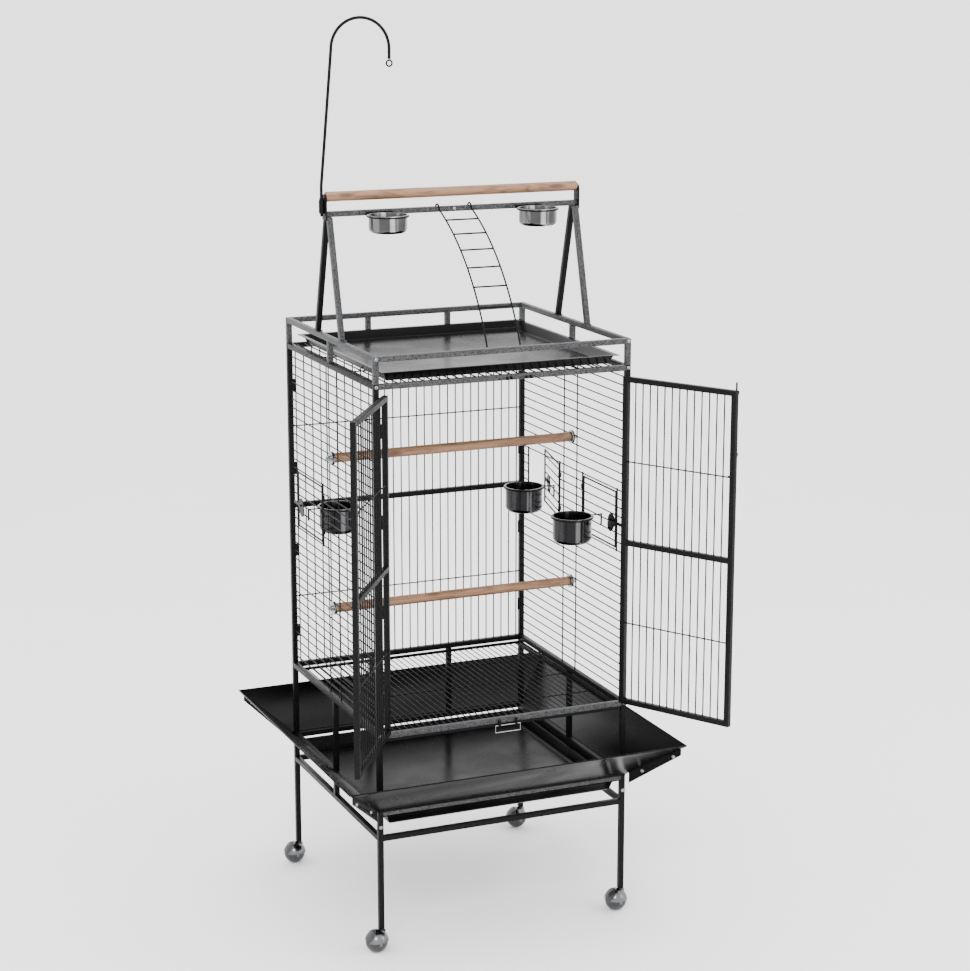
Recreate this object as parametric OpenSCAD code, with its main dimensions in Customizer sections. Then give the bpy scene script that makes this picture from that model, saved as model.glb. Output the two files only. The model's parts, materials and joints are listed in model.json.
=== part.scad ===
// Play-top parrot cage on a wheeled stand.
// The frame stands on z = 0, is centred on x = 0 and y = 0, and its doors face -y.

/* [Frame] */
// Width of the cage frame over its corner posts
cage_w = 600; // [520:5:720]
// Depth of the cage frame over its corner posts
cage_d = 576; // [500:4:680]
// Side of the square frame tube
tube = 12; // [11:0.5:14]
// Wall thickness of the square frame tube
tube_wall = 1.2; // [1:0.1:2]
// Diameter of the grille wire
wire = 3; // [2.5:0.25:3.5]
// Spacing of the bars in every grille
bar_pitch = 20; // [16:0.5:24]

/* [Heights] */
// Height from the floor to the lower end of the legs
caster_h = 52; // [50:1:60]
// Length of the stand legs
leg_h = 265; // [220:5:330]
// Height of the stand rails above the lower end of the legs
stand_rail_h = 206; // [150:2:206]
// Height of the base section between the stand and the cage floor rails
base_h = 176; // [150:2:210]
// Clear height of the cage between its floor rails and its roof rails
cage_h = 757; // [640:1:900]
// Clear gap for the play tray between the roof rails and the rim rails
play_gap = 47; // [40:1:60]
// Height of the play stand crossbar above the rim rails
play_stand_h = 261; // [200:1:320]

/* [Doors] */
// Gap between the doors and the sill rail below them
door_gap = 2; // [1.5:0.25:4]
// Gap between the doors and the header rail above them
door_top_gap = 9; // [2:0.5:12]
// Opening angle of the left door
left_door_open = 124; // [0:1:126]
// Opening angle of the right door
right_door_open = 120; // [0:1:126]
// Diameter of the door hinge pins
hinge_pin_d = 5; // [4:0.25:6]
// Radial play of the hinge pins in the doors
hinge_play = 0.08; // [0.05:0.01:0.1]

/* [Trays] */
// Thickness of the pressed sheet trays and seed guards
sheet = 1; // [0.8:0.1:1.5]
// Depth of the dropping tray
tray_depth = 27; // [18:1:30]
// Depth of the play tray
play_tray_depth = 21; // [15:1:26]
// Width of the tray rims
rim_w = 10; // [8:0.5:12]

/* [Seed guards] */
// How far the seed guards reach out from the frame
guard_out = 103; // [70:1:130]
// How far the seed guards rise to their outer edge
guard_rise = 86; // [60:1:100]

/* [Feeders] */
// Outer diameter of the feeder cups
cup_d = 88; // [70:1:92]
// Depth of the feeder cups
cup_h = 60; // [40:1:70]
// Outer diameter of the play top bowls
bowl_d = 84; // [70:1:96]
// Depth of the play top bowls
bowl_h = 38; // [28:1:46]
// How far the right rear feeder door stands open
feeder_ajar = 13; // [0:1:20]

/* [Perches] */
// Diameter of the wooden perches
perch_d = 22; // [18:1:28]

/* [Hidden] */
$fn = 36;

// Finishes
c_tube = "#2b2b2d";
c_vein = "#6d6d70";
c_gloss = "#1c1c1e";
c_steel = "#8f9092";
c_wood = "#c08a5a";

// Levels
z_leg = caster_h;
z_stand_rail = z_leg + stand_rail_h;
z_base = z_leg + leg_h;
z_floor = z_base + tube + base_h - tube;
z_cage = z_floor + tube;
z_roof = z_cage + cage_h;
z_gap = z_roof + tube;
z_rim = z_gap + play_gap;
z_top = z_rim + tube;
z_bar = z_top + play_stand_h + tube / 2;

// Plan sizes
half_w = cage_w / 2;
half_d = cage_d / 2;
in_w = half_w - tube;
in_d = half_d - tube;
grille_x = half_w - tube / 2;
front_y = -half_d + tube / 2;
weld = 0.6;
cross_step = 0.75 * wire;
slide_gap = 0.5;

// Doors
door_z0 = z_cage + door_gap;
door_z1 = z_roof - door_top_gap;
door_free_gap = 1;
door_bars = 13;
barrel_d = hinge_pin_d + 4;
barrel_h = 15;
barrel_gap = 0.3;
hinge_x = in_w - 0.5;
hinge_y = -half_d - barrel_d / 2 - 0.3;
leaf_w = 9;
leaf_t = 1.6;
bolt_d = 4;
bolt_off = tube / 2 + bolt_d / 2 + 0.4;

// Screws
screw_d = 4;
screw_head_d = 9;
screw_head_h = 2.6;
screw_len = 8;
screw_play = 0.15;

// Casters
ball_d = 50;
ball_z = ball_d / 2;
ball_off = 11;
stem_d = 8;
stem_len = 30;
stem_play = 0.08;
stem_block = stem_len + 4;

// Runner lips that carry the dropping tray and the grate
runner = 1.5;
lip_w = 9.5;
tray_top = z_base - 2;
tray_half_w = in_w - runner - slide_gap;
tray_front = half_d - 2;
tray_back = in_d - 4;
grate_bar = 6;
grate_top = z_floor - 1;
grate_half_w = in_w - runner - slide_gap;

// Feeder doorways: rows of the side grille that bound them, and their reach along the side
feeder_row0 = 17;
feeder_row1 = 24;
feeder_near = 62;
feeder_far = 240;
feeder_wire = 4;
feeder_z0 = z_cage + bar_pitch * feeder_row0;
feeder_z1 = z_cage + bar_pitch * feeder_row1;
feeder_clear = 3.2;
feeder_mid = (feeder_near + feeder_far) / 2;
ring_row = feeder_row0 + 3;
ring_wire = 4;
arm_wire = ring_wire - 1;
ring_z = z_cage + bar_pitch * ring_row + (wire + arm_wire) / 2;
cup_reach = 68;
cup_rim = 4;
cup_play = 0.8;
latch_d = 42;
latch_t = 2;

// Perches
perch_post = 35;
perch_z_low = z_cage + bar_pitch * 10.4;
perch_z_high = z_cage + bar_pitch * 27.7;

// Play stand
play_foot = 78;
play_splay = 8;
plate_w = 26;
plate_h = 56;
plate_t = 3;
top_perch_rise = 38;
bowl_x = 178;
ring_gap = 9;
ladder_half = 38.5;
ladder_pitch = 50.5;
ladder_rungs = 7;
ladder_wire = 4;
ladder_radius = 525;
hook_d = 7;
hook_r = 66.5;
sleeve_wall = 2.5;
hook_x = half_w + plate_t + hook_d / 2 + sleeve_wall - 0.5;
hook_top_x = 282;
hook_top_z = 351;
hook_tail = 25;
eye_r = 6.5;
eye_wire = 4;

// ---------------------------------------------------------------- building blocks

// Box from its low corner to its high corner
module box(lo, hi) {
    translate(lo) cube(hi - lo);
}

// Length of hollow square tube, closed at its ends
module rail(lo, hi) {
    inset = [tube_wall, tube_wall, tube_wall];
    difference() {
        box(lo, hi);
        box(lo + inset, hi - inset);
    }
}

// Shape made for the right side, repeated as its mirror image on the left
module on_side(side) {
    if (side > 0) children();
    else mirror([1, 0, 0]) children();
}

// Round bars along each axis
module bar_x(x0, x1, y, z, d) {
    translate([x0, y, z]) rotate([0, 90, 0]) cylinder(d = d, h = x1 - x0);
}
module bar_y(x, y0, y1, z, d) {
    translate([x, y0, z]) rotate([-90, 0, 0]) cylinder(d = d, h = y1 - y0);
}
module bar_z(x, y, z0, z1, d) {
    translate([x, y, z0]) cylinder(d = d, h = z1 - z0);
}

// Screw with its head on the plane z = 0, its shank going down
module screw() {
    cylinder(d = screw_head_d, h = screw_head_h / 2);
    translate([0, 0, screw_head_h / 2])
        cylinder(d1 = screw_head_d, d2 = screw_head_d / 2, h = screw_head_h / 2);
    translate([0, 0, -screw_len]) cylinder(d = screw_d, h = screw_len + screw_head_h / 2);
}
module screw_hole() {
    translate([0, 0, -screw_len - 1]) cylinder(d = screw_d + 2 * screw_play, h = screw_len + 2);
}

// Places of the screws on the front and on the rear faces of the posts
module front_of(x, z) { translate([x, -half_d, z]) rotate([90, 0, 0]) children(); }
module rear_of(x, z) { translate([x, half_d, z]) rotate([-90, 0, 0]) children(); }
module leg_screws() {
    for (s = [-1, 1]) {
        front_of(s * grille_x, z_base - 26) children();
        rear_of(s * grille_x, z_base - 26) children();
    }
}
module base_screws() {
    for (s = [-1, 1]) rear_of(s * grille_x, z_floor - 14) children();
}
module panel_screws() {
    for (s = [-1, 1]) {
        front_of(s * grille_x, z_floor + tube / 2) children();
        front_of(s * grille_x, z_roof + tube / 2) children();
        rear_of(s * grille_x, z_roof + tube / 2) children();
    }
}
module rim_screws() {
    for (s = [-1, 1]) {
        front_of(s * grille_x, z_rim + tube / 2) children();
        rear_of(s * grille_x, z_rim + tube / 2) children();
    }
}

// ---------------------------------------------------------------- stand and casters

module stand_side(side) {
    color(c_tube) on_side(side) difference() {
        union() {
            for (y = [-half_d, in_d]) {
                box([in_w, y, z_leg], [half_w, y + tube, z_leg + stem_block]);
                rail([in_w, y, z_leg + stem_block], [half_w, y + tube, z_base]);
            }
            rail([in_w, -in_d, z_stand_rail], [half_w, in_d, z_stand_rail + tube]);
            rail([in_w, -tube / 2, z_stand_rail + tube], [half_w, tube / 2, z_base]);
        }
        leg_screws() screw_hole();
        for (y = [-1, 1]) bar_z(grille_x, y * (half_d - tube / 2), z_leg - 1, z_leg + stem_len + 1,
                                stem_d + 2 * stem_play);
    }
}

module stand_rails() {
    color(c_tube) for (y = [-half_d, in_d])
        rail([-in_w, y, z_stand_rail], [in_w, y + tube, z_stand_rail + tube]);
}

// Hooded ball caster: the hood turns on its stem, the ball rolls under the hood
module at_caster(sx, sy) {
    translate([sx * grille_x, sy * (half_d - tube / 2), 0]) children();
}
module caster_hood(sx, sy) {
    color(c_steel) at_caster(sx, sy) {
        // Shell over the ball, cut off below the axle and leaning open towards the ball's side
        difference() {
            translate([-ball_off, 0, ball_z]) sphere(d = ball_d + 4);
            translate([-ball_off, 0, ball_z]) sphere(d = ball_d + 1);
            translate([-ball_off - ball_d, -ball_d, -ball_d])
                cube([2 * ball_d, 2 * ball_d, ball_d + ball_z + 2]);
            translate([-ball_off, 0, ball_z]) rotate([0, 38, 0]) translate([-ball_d, -ball_d, -ball_d])
                cube([ball_d * 0.62, 2 * ball_d, 3 * ball_d]);
        }
        // Neck and stem
        difference() {
            union() {
                translate([0, 0, ball_z + 4]) cylinder(d = 20, h = z_leg - 0.5 - ball_z - 4);
                translate([0, 0, z_leg - 1]) cylinder(d = stem_d, h = stem_len);
            }
            translate([-ball_off, 0, ball_z]) sphere(d = ball_d + 1);
        }
        // Axle ends
        difference() {
            bar_y(-ball_off, -ball_d / 2 - 3, ball_d / 2 + 3, ball_z, 8);
            translate([-ball_off, 0, ball_z]) sphere(d = ball_d - 10);
        }
    }
}
module caster_ball(sx, sy) {
    color(c_gloss) at_caster(sx, sy) difference() {
        translate([-ball_off, 0, ball_z]) sphere(d = ball_d);
        bar_y(-ball_off, -ball_d, ball_d, ball_z, 8.16);
    }
}

// ---------------------------------------------------------------- base section

module base_side(side) {
    color(c_tube) on_side(side) difference() {
        union() {
            for (y = [-half_d, in_d]) rail([in_w, y, z_base], [half_w, y + tube, z_floor]);
            rail([in_w, -in_d, z_base], [half_w, in_d, z_base + tube]);
            rail([in_w, -tube / 2, z_base + tube], [half_w, tube / 2, z_floor]);
            // Runner for the dropping tray
            box([in_w - runner, 1 - in_d, tray_top - 5], [in_w, in_d - 1, z_base + tube - 2]);
            box([in_w - lip_w, 1 - in_d, tray_top - 5], [in_w, in_d - 1, tray_top - 5 + runner]);
            // Runner for the floor grate
            box([in_w - runner, -in_d - 2, grate_top - grate_bar - 2.5], [in_w, in_d + 2, z_floor - 1]);
            box([in_w - lip_w, 1 - in_d, grate_top - grate_bar - 2.5],
                [in_w, in_d - 1, grate_top - grate_bar - 1]);
        }
        base_screws() screw_hole();
    }
}

module base_rail_front() {
    color(c_vein) rail([-in_w, -half_d, z_base], [in_w, -in_d, z_base + tube]);
}

module base_frame_rear() {
    color(c_tube) {
        rail([-in_w, in_d, z_base], [in_w, half_d, z_base + tube]);
        for (s = [-1, 1]) rail([s * cage_w / 6 - tube / 2, in_d, z_base + tube],
                              [s * cage_w / 6 + tube / 2, half_d, z_floor]);
    }
}

module sill_rail() {
    color(c_vein) rail([-in_w, -half_d, z_floor], [in_w, -in_d, z_cage]);
}

// ---------------------------------------------------------------- seed guards

guard_z = z_base + tube;
guard_len = sqrt(guard_out * guard_out + guard_rise * guard_rise);
guard_tilt = atan2(guard_rise, guard_out);
flange_h = 25;
mitre_gap = 0.2;

// Guard along +x for a frame side of half length span, at distance reach from the centre
module guard(span, reach) {
    color(c_gloss) {
        translate([0, reach + sheet * sin(guard_tilt), guard_z]) rotate([guard_tilt, 0, 0])
            linear_extrude(sheet) polygon([[-span + mitre_gap, 0], [span - mitre_gap, 0],
                [span + guard_out - mitre_gap, guard_len], [-span - guard_out + mitre_gap, guard_len]]);
        // Mounting lip over the top of the rail's face
        box([-span + 1, reach, guard_z - 3], [span - 1, reach + sheet, guard_z + 1]);
        // Hem along the outer edge
        bar_x(-span - guard_out + 3, span + guard_out - 3, reach + guard_out - 1, guard_z + guard_rise, 3);
        // Bent flanges that bolt to the neighbouring guards along the mitres
        for (s = [-1, 1]) mirror([s < 0 ? 1 : 0, 0, 0])
            translate([span, reach, guard_z]) rotate([90, 0, 45])
            translate([0, 0, -sheet - mitre_gap]) linear_extrude(sheet)
            polygon([for (p = [[0.06, 0.03], [0.9, 0.03], [0.9, -0.6], [0.06, -1]])
                [p[0] * guard_out * sqrt(2), p[0] * guard_rise + p[1] * flange_h]]);
    }
}

module seed_guard(angle) {
    difference() {
        rotate([0, 0, angle]) {
            if (angle == 0 || angle == 180) guard(half_w, half_d);
            else guard(half_d, half_w);
        }
        guard_screws() screw_hole();
    }
}

// Screws through the paired flanges of two guards
module guard_screws() {
    for (sx = [-1, 1], sy = [-1, 1], f = [0.28, 0.78])
        translate([sx * (half_w + f * guard_out), sy * (half_d + f * guard_out),
                   guard_z + f * guard_rise - flange_h * 0.4])
        rotate([0, 0, sx * sy > 0 ? 45 : -45]) rotate([-sy * 90, 0, 0])
        translate([0, 0, sheet + mitre_gap]) children();
}

// ---------------------------------------------------------------- trays and grate

// Cross-section of a tray: a rim of half width w, walls that lean in, rounded into the floor
function tray_side(w, depth, lean, r) =
    let (a = atan2(depth, lean),
         cx = w - lean - r * tan(a / 2))
    concat([[w, 0]], [for (i = [0 : 4]) let (t = 90 - a + a * i / 4)
        [cx + r * cos(t - 0) * 1, -depth + r - r * sin(t)]]);
function tray_outline(w, depth, lean, r) =
    let (side = tray_side(w, depth, lean, r))
    concat(side, [for (i = [len(side) - 1 : -1 : 0]) [-side[i][0], side[i][1]]]);

// Solid that fills a tray, from its rim plane down
module tray_body(w, d, depth, lean, r) {
    intersection() {
        rotate([90, 0, 0]) translate([0, 0, -d - 5]) linear_extrude(2 * d + 10)
            polygon(tray_outline(w, depth, lean, r));
        rotate([90, 0, 90]) translate([0, 0, -w - 5]) linear_extrude(2 * w + 10)
            polygon(tray_outline(d, depth, lean, r));
    }
}

module tray(w, d, depth, lean, r) {
    color(c_gloss) difference() {
        union() {
            tray_body(w - rim_w, d - rim_w, depth, lean, r);
            translate([-w, -d, -sheet]) cube([2 * w, 2 * d, sheet]);
        }
        translate([0, 0, 0.01]) tray_body(w - rim_w - sheet, d - rim_w - sheet, depth - sheet, lean,
                                          r - sheet);
    }
}

tray_lean = 8;
tray_r = 9;
module dropping_tray() {
    translate([0, (tray_back - tray_front) / 2, tray_top])
        tray(tray_half_w, (tray_front + tray_back) / 2, tray_depth, tray_lean, tray_r);
}

play_lean = 10;
play_r = 5;
play_half_w = in_w - 8;
play_front = in_d;
play_back = in_d - 8;
module play_tray() {
    translate([0, (play_back - play_front) / 2, z_gap + slide_gap + play_tray_depth])
        tray(play_half_w, (play_front + play_back) / 2, play_tray_depth, play_lean, play_r);
}

grate_pitch = bar_pitch * 0.75;
grate_back = in_d - 4;
module floor_grate() {
    n = floor((2 * grate_half_w - 2 * grate_bar) / grate_pitch / 2);
    zc = grate_top - wire;
    color(c_tube) {
        box([-grate_half_w, -half_d + 1, grate_top - grate_bar], [grate_half_w, -half_d + 1 + grate_bar, grate_top]);
        box([-grate_half_w, grate_back - grate_bar, grate_top - grate_bar], [grate_half_w, grate_back, grate_top]);
        for (s = [-1, 1]) box([s > 0 ? grate_half_w - grate_bar : -grate_half_w, -half_d + 1, grate_top - grate_bar],
                              [s > 0 ? grate_half_w : -grate_half_w + grate_bar, grate_back, grate_top]);
        for (i = [-n : n]) bar_y(i * grate_pitch, -half_d + 1 + grate_bar - weld, grate_back - grate_bar + weld,
                                 zc, 2.5);
        for (y = [-1, 0, 1]) bar_x(-grate_half_w + grate_bar - weld, grate_half_w - grate_bar + weld,
                                   y * cage_d / 4, zc - 1.8, 2.5);
        grate_knuckles();
    }
}

// ---------------------------------------------------------------- grate pull

pull_x = 6;
pull_half = 30;
pull_drop = 16;
pull_wire = 3;
knuckle_x = 20;
pull_y = -half_d - 4;
pull_z = grate_top - grate_bar / 2;
// Knuckles on the front bar of the grate, and the hooks that rise over the rail's face
module grate_knuckles() {
    difference() {
        for (s = [-1, 1]) {
            box([pull_x + s * knuckle_x - 2.5, pull_y - 3.5, pull_z - 3.5],
                [pull_x + s * knuckle_x + 2.5, -half_d + 1.5, pull_z + 2]);
            box([pull_x + s * knuckle_x - 2.5, pull_y - 3.5, pull_z + 1],
                [pull_x + s * knuckle_x + 2.5, -half_d - 1, z_floor + tube - 3]);
        }
        bar_x(pull_x - pull_half, pull_x + pull_half, pull_y, pull_z, pull_wire + 0.16);
    }
}
module grate_pull() {
    color(c_steel) translate([pull_x, pull_y, pull_z]) {
        bar_x(-pull_half, pull_half, 0, 0, pull_wire);
        for (s = [-1, 1]) {
            bar_z(s * pull_half, 0, -pull_drop, 0, pull_wire);
            translate([s * pull_half, 0, 0]) sphere(d = pull_wire + 0.4);
            translate([s * pull_half, 0, -pull_drop]) sphere(d = pull_wire + 0.4);
        }
        bar_x(-pull_half, pull_half, 0, -pull_drop, pull_wire);
    }
}

// ---------------------------------------------------------------- cage panels

// Heights at which the doors are hinged and the rear panel is fixed
fixings = [for (i = [0 : 3]) z_cage + cage_h * (0.105 + 0.26 * i)];
module post_tabs() {
    for (z = fixings) box([in_w - 5, in_d, z - 15], [in_w, in_d + 4, z + 15]);
}

// Half of a butt hinge from z0 up: its barrel, and a leaf that reaches dx along the face behind it
module hinge_half(z0, dx) {
    difference() {
        union() {
            bar_z(hinge_x, hinge_y, z0, z0 + barrel_h, barrel_d);
            box([min(hinge_x, hinge_x + dx), -half_d - leaf_t, z0],
                [max(hinge_x, hinge_x + dx), -half_d, z0 + barrel_h]);
        }
        bar_z(hinge_x, hinge_y, z0 - 1, z0 + barrel_h + 1, hinge_pin_d + 2 * hinge_play);
    }
}

// Rows of one side grille. doorways lists the y bands that a feeder door takes out
module side_rows(doorways) {
    rows = floor((cage_h - wire) / bar_pitch);
    for (i = [1 : rows]) {
        z = z_cage + i * bar_pitch;
        inside = i > feeder_row0 && i < feeder_row1;
        cuts = inside ? doorways : [];
        ends = concat([-in_d - weld], [for (c = cuts) each c], [in_d + weld]);
        for (k = [0 : 2 : len(ends) - 2]) bar_y(grille_x, ends[k], ends[k + 1], z, wire);
    }
    for (s = [-1, 1]) bar_z(grille_x - cross_step, s * perch_post, z_cage - weld, z_roof + weld, wire);
    for (c = doorways, y = c)
        bar_z(grille_x, y, feeder_z0 - wire, feeder_z1 + wire, feeder_wire);
}

rear_doorway = [feeder_near, feeder_far];
front_doorway = [-feeder_far, -feeder_near];
module side_panel(side) {
    color(c_tube) on_side(side) {
        difference() {
            union() {
                for (y = [-half_d, in_d]) rail([in_w, y, z_floor], [half_w, y + tube, z_gap]);
                rail([in_w, -in_d, z_floor], [half_w, in_d, z_cage]);
                rail([in_w, -in_d, z_roof], [half_w, in_d, z_gap]);
                post_tabs();
                for (z = fixings) hinge_half(z - barrel_h, leaf_w);
            }
            panel_screws() screw_hole();
        }
        side_rows(side > 0 ? [front_doorway, rear_doorway] : [rear_doorway]);
    }
}

module rear_panel() {
    z_mid = z_cage + cage_h * 0.507;
    n = floor((in_w - wire) / bar_pitch);
    color(c_tube) {
        for (z = [z_floor, z_mid - tube / 2, z_roof])
            rail([-in_w, in_d, z], [in_w, half_d, z + tube]);
        for (i = [-n : n]) {
            bar_z(i * bar_pitch, half_d - tube / 2, z_cage - weld, z_mid - tube / 2 + weld, wire);
            bar_z(i * bar_pitch, half_d - tube / 2, z_mid + tube / 2 - weld, z_roof + weld, wire);
        }
        for (z = [z_cage + cage_h * 0.214, z_cage + cage_h * 0.756])
            bar_x(-in_w, in_w, half_d - tube / 2 + cross_step, z, wire);
    }
}

module header_rail() {
    color(c_vein) {
        rail([-in_w, -half_d, z_roof], [in_w, -in_d, z_gap]);
        // Catches that the right door bolt enters
        for (x = [8, 53], s = [-1, 1])
            box([x + s * 5 - 1.5, -half_d - 8, z_roof + 1], [x + s * 5 + 1.5, -half_d, z_roof + 8]);
    }
}

// ---------------------------------------------------------------- doors

module door_hinge_pins() {
    color(c_steel) for (s = [-1, 1], z = fixings)
        bar_z(s * hinge_x, hinge_y, z - barrel_h, z + barrel_gap + barrel_h, hinge_pin_d);
}

// A right hand door in its closed place
module door_leaf() {
    x0 = door_free_gap;
    x1 = in_w - 1;
    z_mid = (door_z0 + door_z1) / 2;
    y0 = -half_d;
    y1 = -in_d;
    clear = x1 - tube - x0 - tube;
    for (x = [x0, x1 - tube]) rail([x, y0, door_z0], [x + tube, y1, door_z1]);
    for (z = [door_z0, z_mid - tube / 2, door_z1 - tube])
        rail([x0 + tube, y0, z], [x1 - tube, y1, z + tube]);
    for (z = fixings) hinge_half(z + barrel_gap, -leaf_w);
    for (i = [1 : door_bars]) {
        x = x0 + tube + clear * i / (door_bars + 1);
        bar_z(x, front_y, door_z0 + tube - weld, z_mid - tube / 2 + weld, wire);
        bar_z(x, front_y, z_mid + tube / 2 - weld, door_z1 - tube + weld, wire);
    }
    for (s = [-1, 1]) bar_x(x0 + tube - weld, x1 - tube + weld, front_y + cross_step,
                            z_mid + s * cage_h * 0.243, wire);
}

// Turns a closed door, or what it carries, to the angle it stands open at rest
module door_swing(side) {
    angle = side > 0 ? right_door_open : left_door_open;
    on_side(side) translate([hinge_x, hinge_y, 0]) rotate([0, 0, angle])
        translate([-hinge_x, -hinge_y, 0]) children();
}

// Guide that holds a bolt to the front face of a door
module bolt_guide(x, z) {
    difference() {
        box([x - 5, -half_d - bolt_d - 2.4, z - 4], [x + 5, -half_d, z + 4]);
        bar_z(x, front_y - bolt_off, z - 5, z + 5, bolt_d + 0.6);
    }
}

right_bolt_x = 8;
right_bolt_z0 = door_z1 - 190;
left_bolt_x = 65;
left_bolt_top = z_cage + 545;
module door_left() {
    color(c_tube) door_swing(-1) {
        door_leaf();
        for (z = [door_z0 + tube / 2, (door_z0 + door_z1) / 2]) bolt_guide(left_bolt_x, z);
    }
}
module door_right() {
    color(c_tube) door_swing(1) {
        door_leaf();
        for (z = [right_bolt_z0 + 50, door_z1 - tube / 2]) bolt_guide(right_bolt_x, z);
    }
}
module door_bolt_left() {
    color(c_tube) door_swing(-1) {
        bar_z(left_bolt_x, front_y - bolt_off, z_floor + 3, left_bolt_top, bolt_d);
        translate([left_bolt_x, front_y - bolt_off, left_bolt_top]) sphere(d = bolt_d);
        bar_x(left_bolt_x, left_bolt_x + 22, front_y - bolt_off, left_bolt_top, bolt_d);
    }
}
module door_bolt_right() {
    color(c_tube) door_swing(1) {
        bar_z(right_bolt_x, front_y - bolt_off, right_bolt_z0, door_z1 + 16, bolt_d);
        translate([right_bolt_x, front_y - bolt_off, right_bolt_z0]) sphere(d = bolt_d);
        bar_x(right_bolt_x, right_bolt_x + 16, front_y - bolt_off, right_bolt_z0, bolt_d);
    }
}

// ---------------------------------------------------------------- feeders

// Puts a feeder made for the right rear doorway where it belongs: sx and sy choose the corner
module feeder_place(sx, sy, ajar) {
    mirror([sx < 0 ? 1 : 0, 0, 0]) mirror([0, sy < 0 ? 1 : 0, 0])
        translate([grille_x, feeder_near, 0]) rotate([0, 0, -ajar])
        translate([-grille_x, -feeder_near, 0]) children();
}
eye_d = feeder_wire + 4;
door_y0 = feeder_near + eye_d / 2 + feeder_wire / 2 + 1;
door_y1 = feeder_far - feeder_wire - 2;
feeder_door_z0 = feeder_z0 + wire / 2 + feeder_wire / 2 + feeder_clear;
feeder_door_z1 = feeder_z1 - wire / 2 - feeder_wire / 2 - feeder_clear;
ring_r = cup_d / 2 + cup_play + ring_wire / 2;
module feeder_door(sx, sy, ajar) {
    color(c_tube) feeder_place(sx, sy, ajar) {
        for (y = [door_y0, door_y1])
            bar_z(grille_x, y, feeder_door_z0 - feeder_wire / 2, feeder_door_z1 + feeder_wire / 2, feeder_wire);
        for (z = [feeder_door_z0, feeder_door_z1])
            bar_y(grille_x, door_y0, door_y1, z, feeder_wire);
        for (i = [feeder_row0 + 1 : feeder_row1 - 1])
            bar_y(grille_x, door_y0, door_y1, z_cage + i * bar_pitch, wire);
        // Eyes that turn on the doorway's own wire
        for (i = [feeder_row0 + 1.5, feeder_row1 - 1.5]) difference() {
            union() {
                bar_z(grille_x, feeder_near, z_cage + i * bar_pitch - 5, z_cage + i * bar_pitch + 5, eye_d);
                box([grille_x - 1.5, feeder_near, z_cage + i * bar_pitch - 4],
                    [grille_x + 1.5, door_y0, z_cage + i * bar_pitch + 4]);
            }
            bar_z(grille_x, feeder_near, z_cage + i * bar_pitch - 6, z_cage + i * bar_pitch + 6,
                  feeder_wire + 0.16);
        }
        // Stud for the latch
        bar_x(grille_x - 1, grille_x + 7, door_y1 - 28, z_cage + ring_row * bar_pitch, 5);
    }
}

// Ring for the cup, with the arm that lies on a bar of the door and hooks down behind it
module feeder_ring(sx, sy, ajar) {
    color(c_tube) feeder_place(sx, sy, ajar) {
        translate([grille_x - cup_reach, feeder_mid, ring_z]) rotate_extrude($fn = 96)
            translate([ring_r, 0]) circle(d = ring_wire);
        bar_x(grille_x - cup_reach + ring_r, grille_x + 5, feeder_mid, ring_z, arm_wire);
        bar_z(grille_x + 5, feeder_mid, ring_z - 26, ring_z + ring_wire / 2, ring_wire);
    }
}

// Pressed cup or bowl with a rolled rim. The rim's underside is at z = 0
module cup(d, h, r) {
    difference() {
        union() {
            rotate_extrude() {
                polygon(concat([[0, 1.2], [d / 2 + cup_rim, 1.2], [d / 2 + cup_rim, 0], [d / 2, 0]],
                    [for (i = [0 : 5]) let (a = i * 18) [d / 2 - r + r * cos(a), -h + r - r * sin(a)]],
                    [[0, -h]]));
            }
        }
        rotate_extrude()
            polygon(concat([[0, 2], [d / 2 - sheet, 2]],
                [for (i = [0 : 5]) let (a = i * 18)
                    [d / 2 - r + (r - sheet) * cos(a), -h + r - (r - sheet) * sin(a)]],
                [[0, -h + sheet]]));
    }
}
module feeder_cup(sx, sy, ajar) {
    color(c_gloss) feeder_place(sx, sy, ajar)
        translate([grille_x - cup_reach, feeder_mid, ring_z + ring_wire / 2 + 0.1]) cup(cup_d, cup_h, 12);
}

latch_y1 = door_y1 - 28;
module feeder_latch(sx, sy, ajar) {
    color(c_gloss) feeder_place(sx, sy, ajar)
        translate([grille_x + feeder_wire / 2 + 0.5, latch_y1, z_cage + ring_row * bar_pitch])
        difference() {
            rotate([90, 0, 90]) linear_extrude(latch_t) union() {
                circle(d = latch_d * 0.8);
                translate([0, -3.5]) square([door_y1 - latch_y1 + 20, 7]);
                translate([-latch_d * 0.13, -latch_d * 0.28]) circle(d = latch_d * 0.66);
            }
            bar_x(-1, latch_t + 1, 0, 0, 5.16);
        }
}

// ---------------------------------------------------------------- perches

module cage_perch(z) {
    color(c_wood) bar_x(-grille_x + wire, grille_x - wire, 0, z, perch_d);
}
module perch_clamps() {
    color(c_steel) for (s = [-1, 1], z = [perch_z_low, perch_z_high]) mirror([s < 0 ? 1 : 0, 0, 0]) {
        bar_x(grille_x - wire, grille_x - wire / 2, 0, z, 30);
        bar_x(grille_x - wire, grille_x + 14, 0, z, 6);
        bar_x(grille_x + wire / 2, grille_x + wire, 0, z, 30);
        bar_x(grille_x + wire, grille_x + 9, 0, z, 12);
        box([grille_x + 4.5, -13, z - 2], [grille_x + 8, 13, z + 2]);
    }
}

// ---------------------------------------------------------------- play top

module roof_grille() {
    n = floor((in_w - wire) / bar_pitch);
    zc = z_gap - wire / 2 - 1.5;
    color(c_tube) difference() {
        union() {
            for (i = [-n : n]) bar_y(i * bar_pitch, -in_d, in_d, zc, wire);
            for (y = [-1, 1]) bar_x(-in_w, in_w, y * cage_d / 6, zc - cross_step, wire);
        }
    }
}

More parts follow.
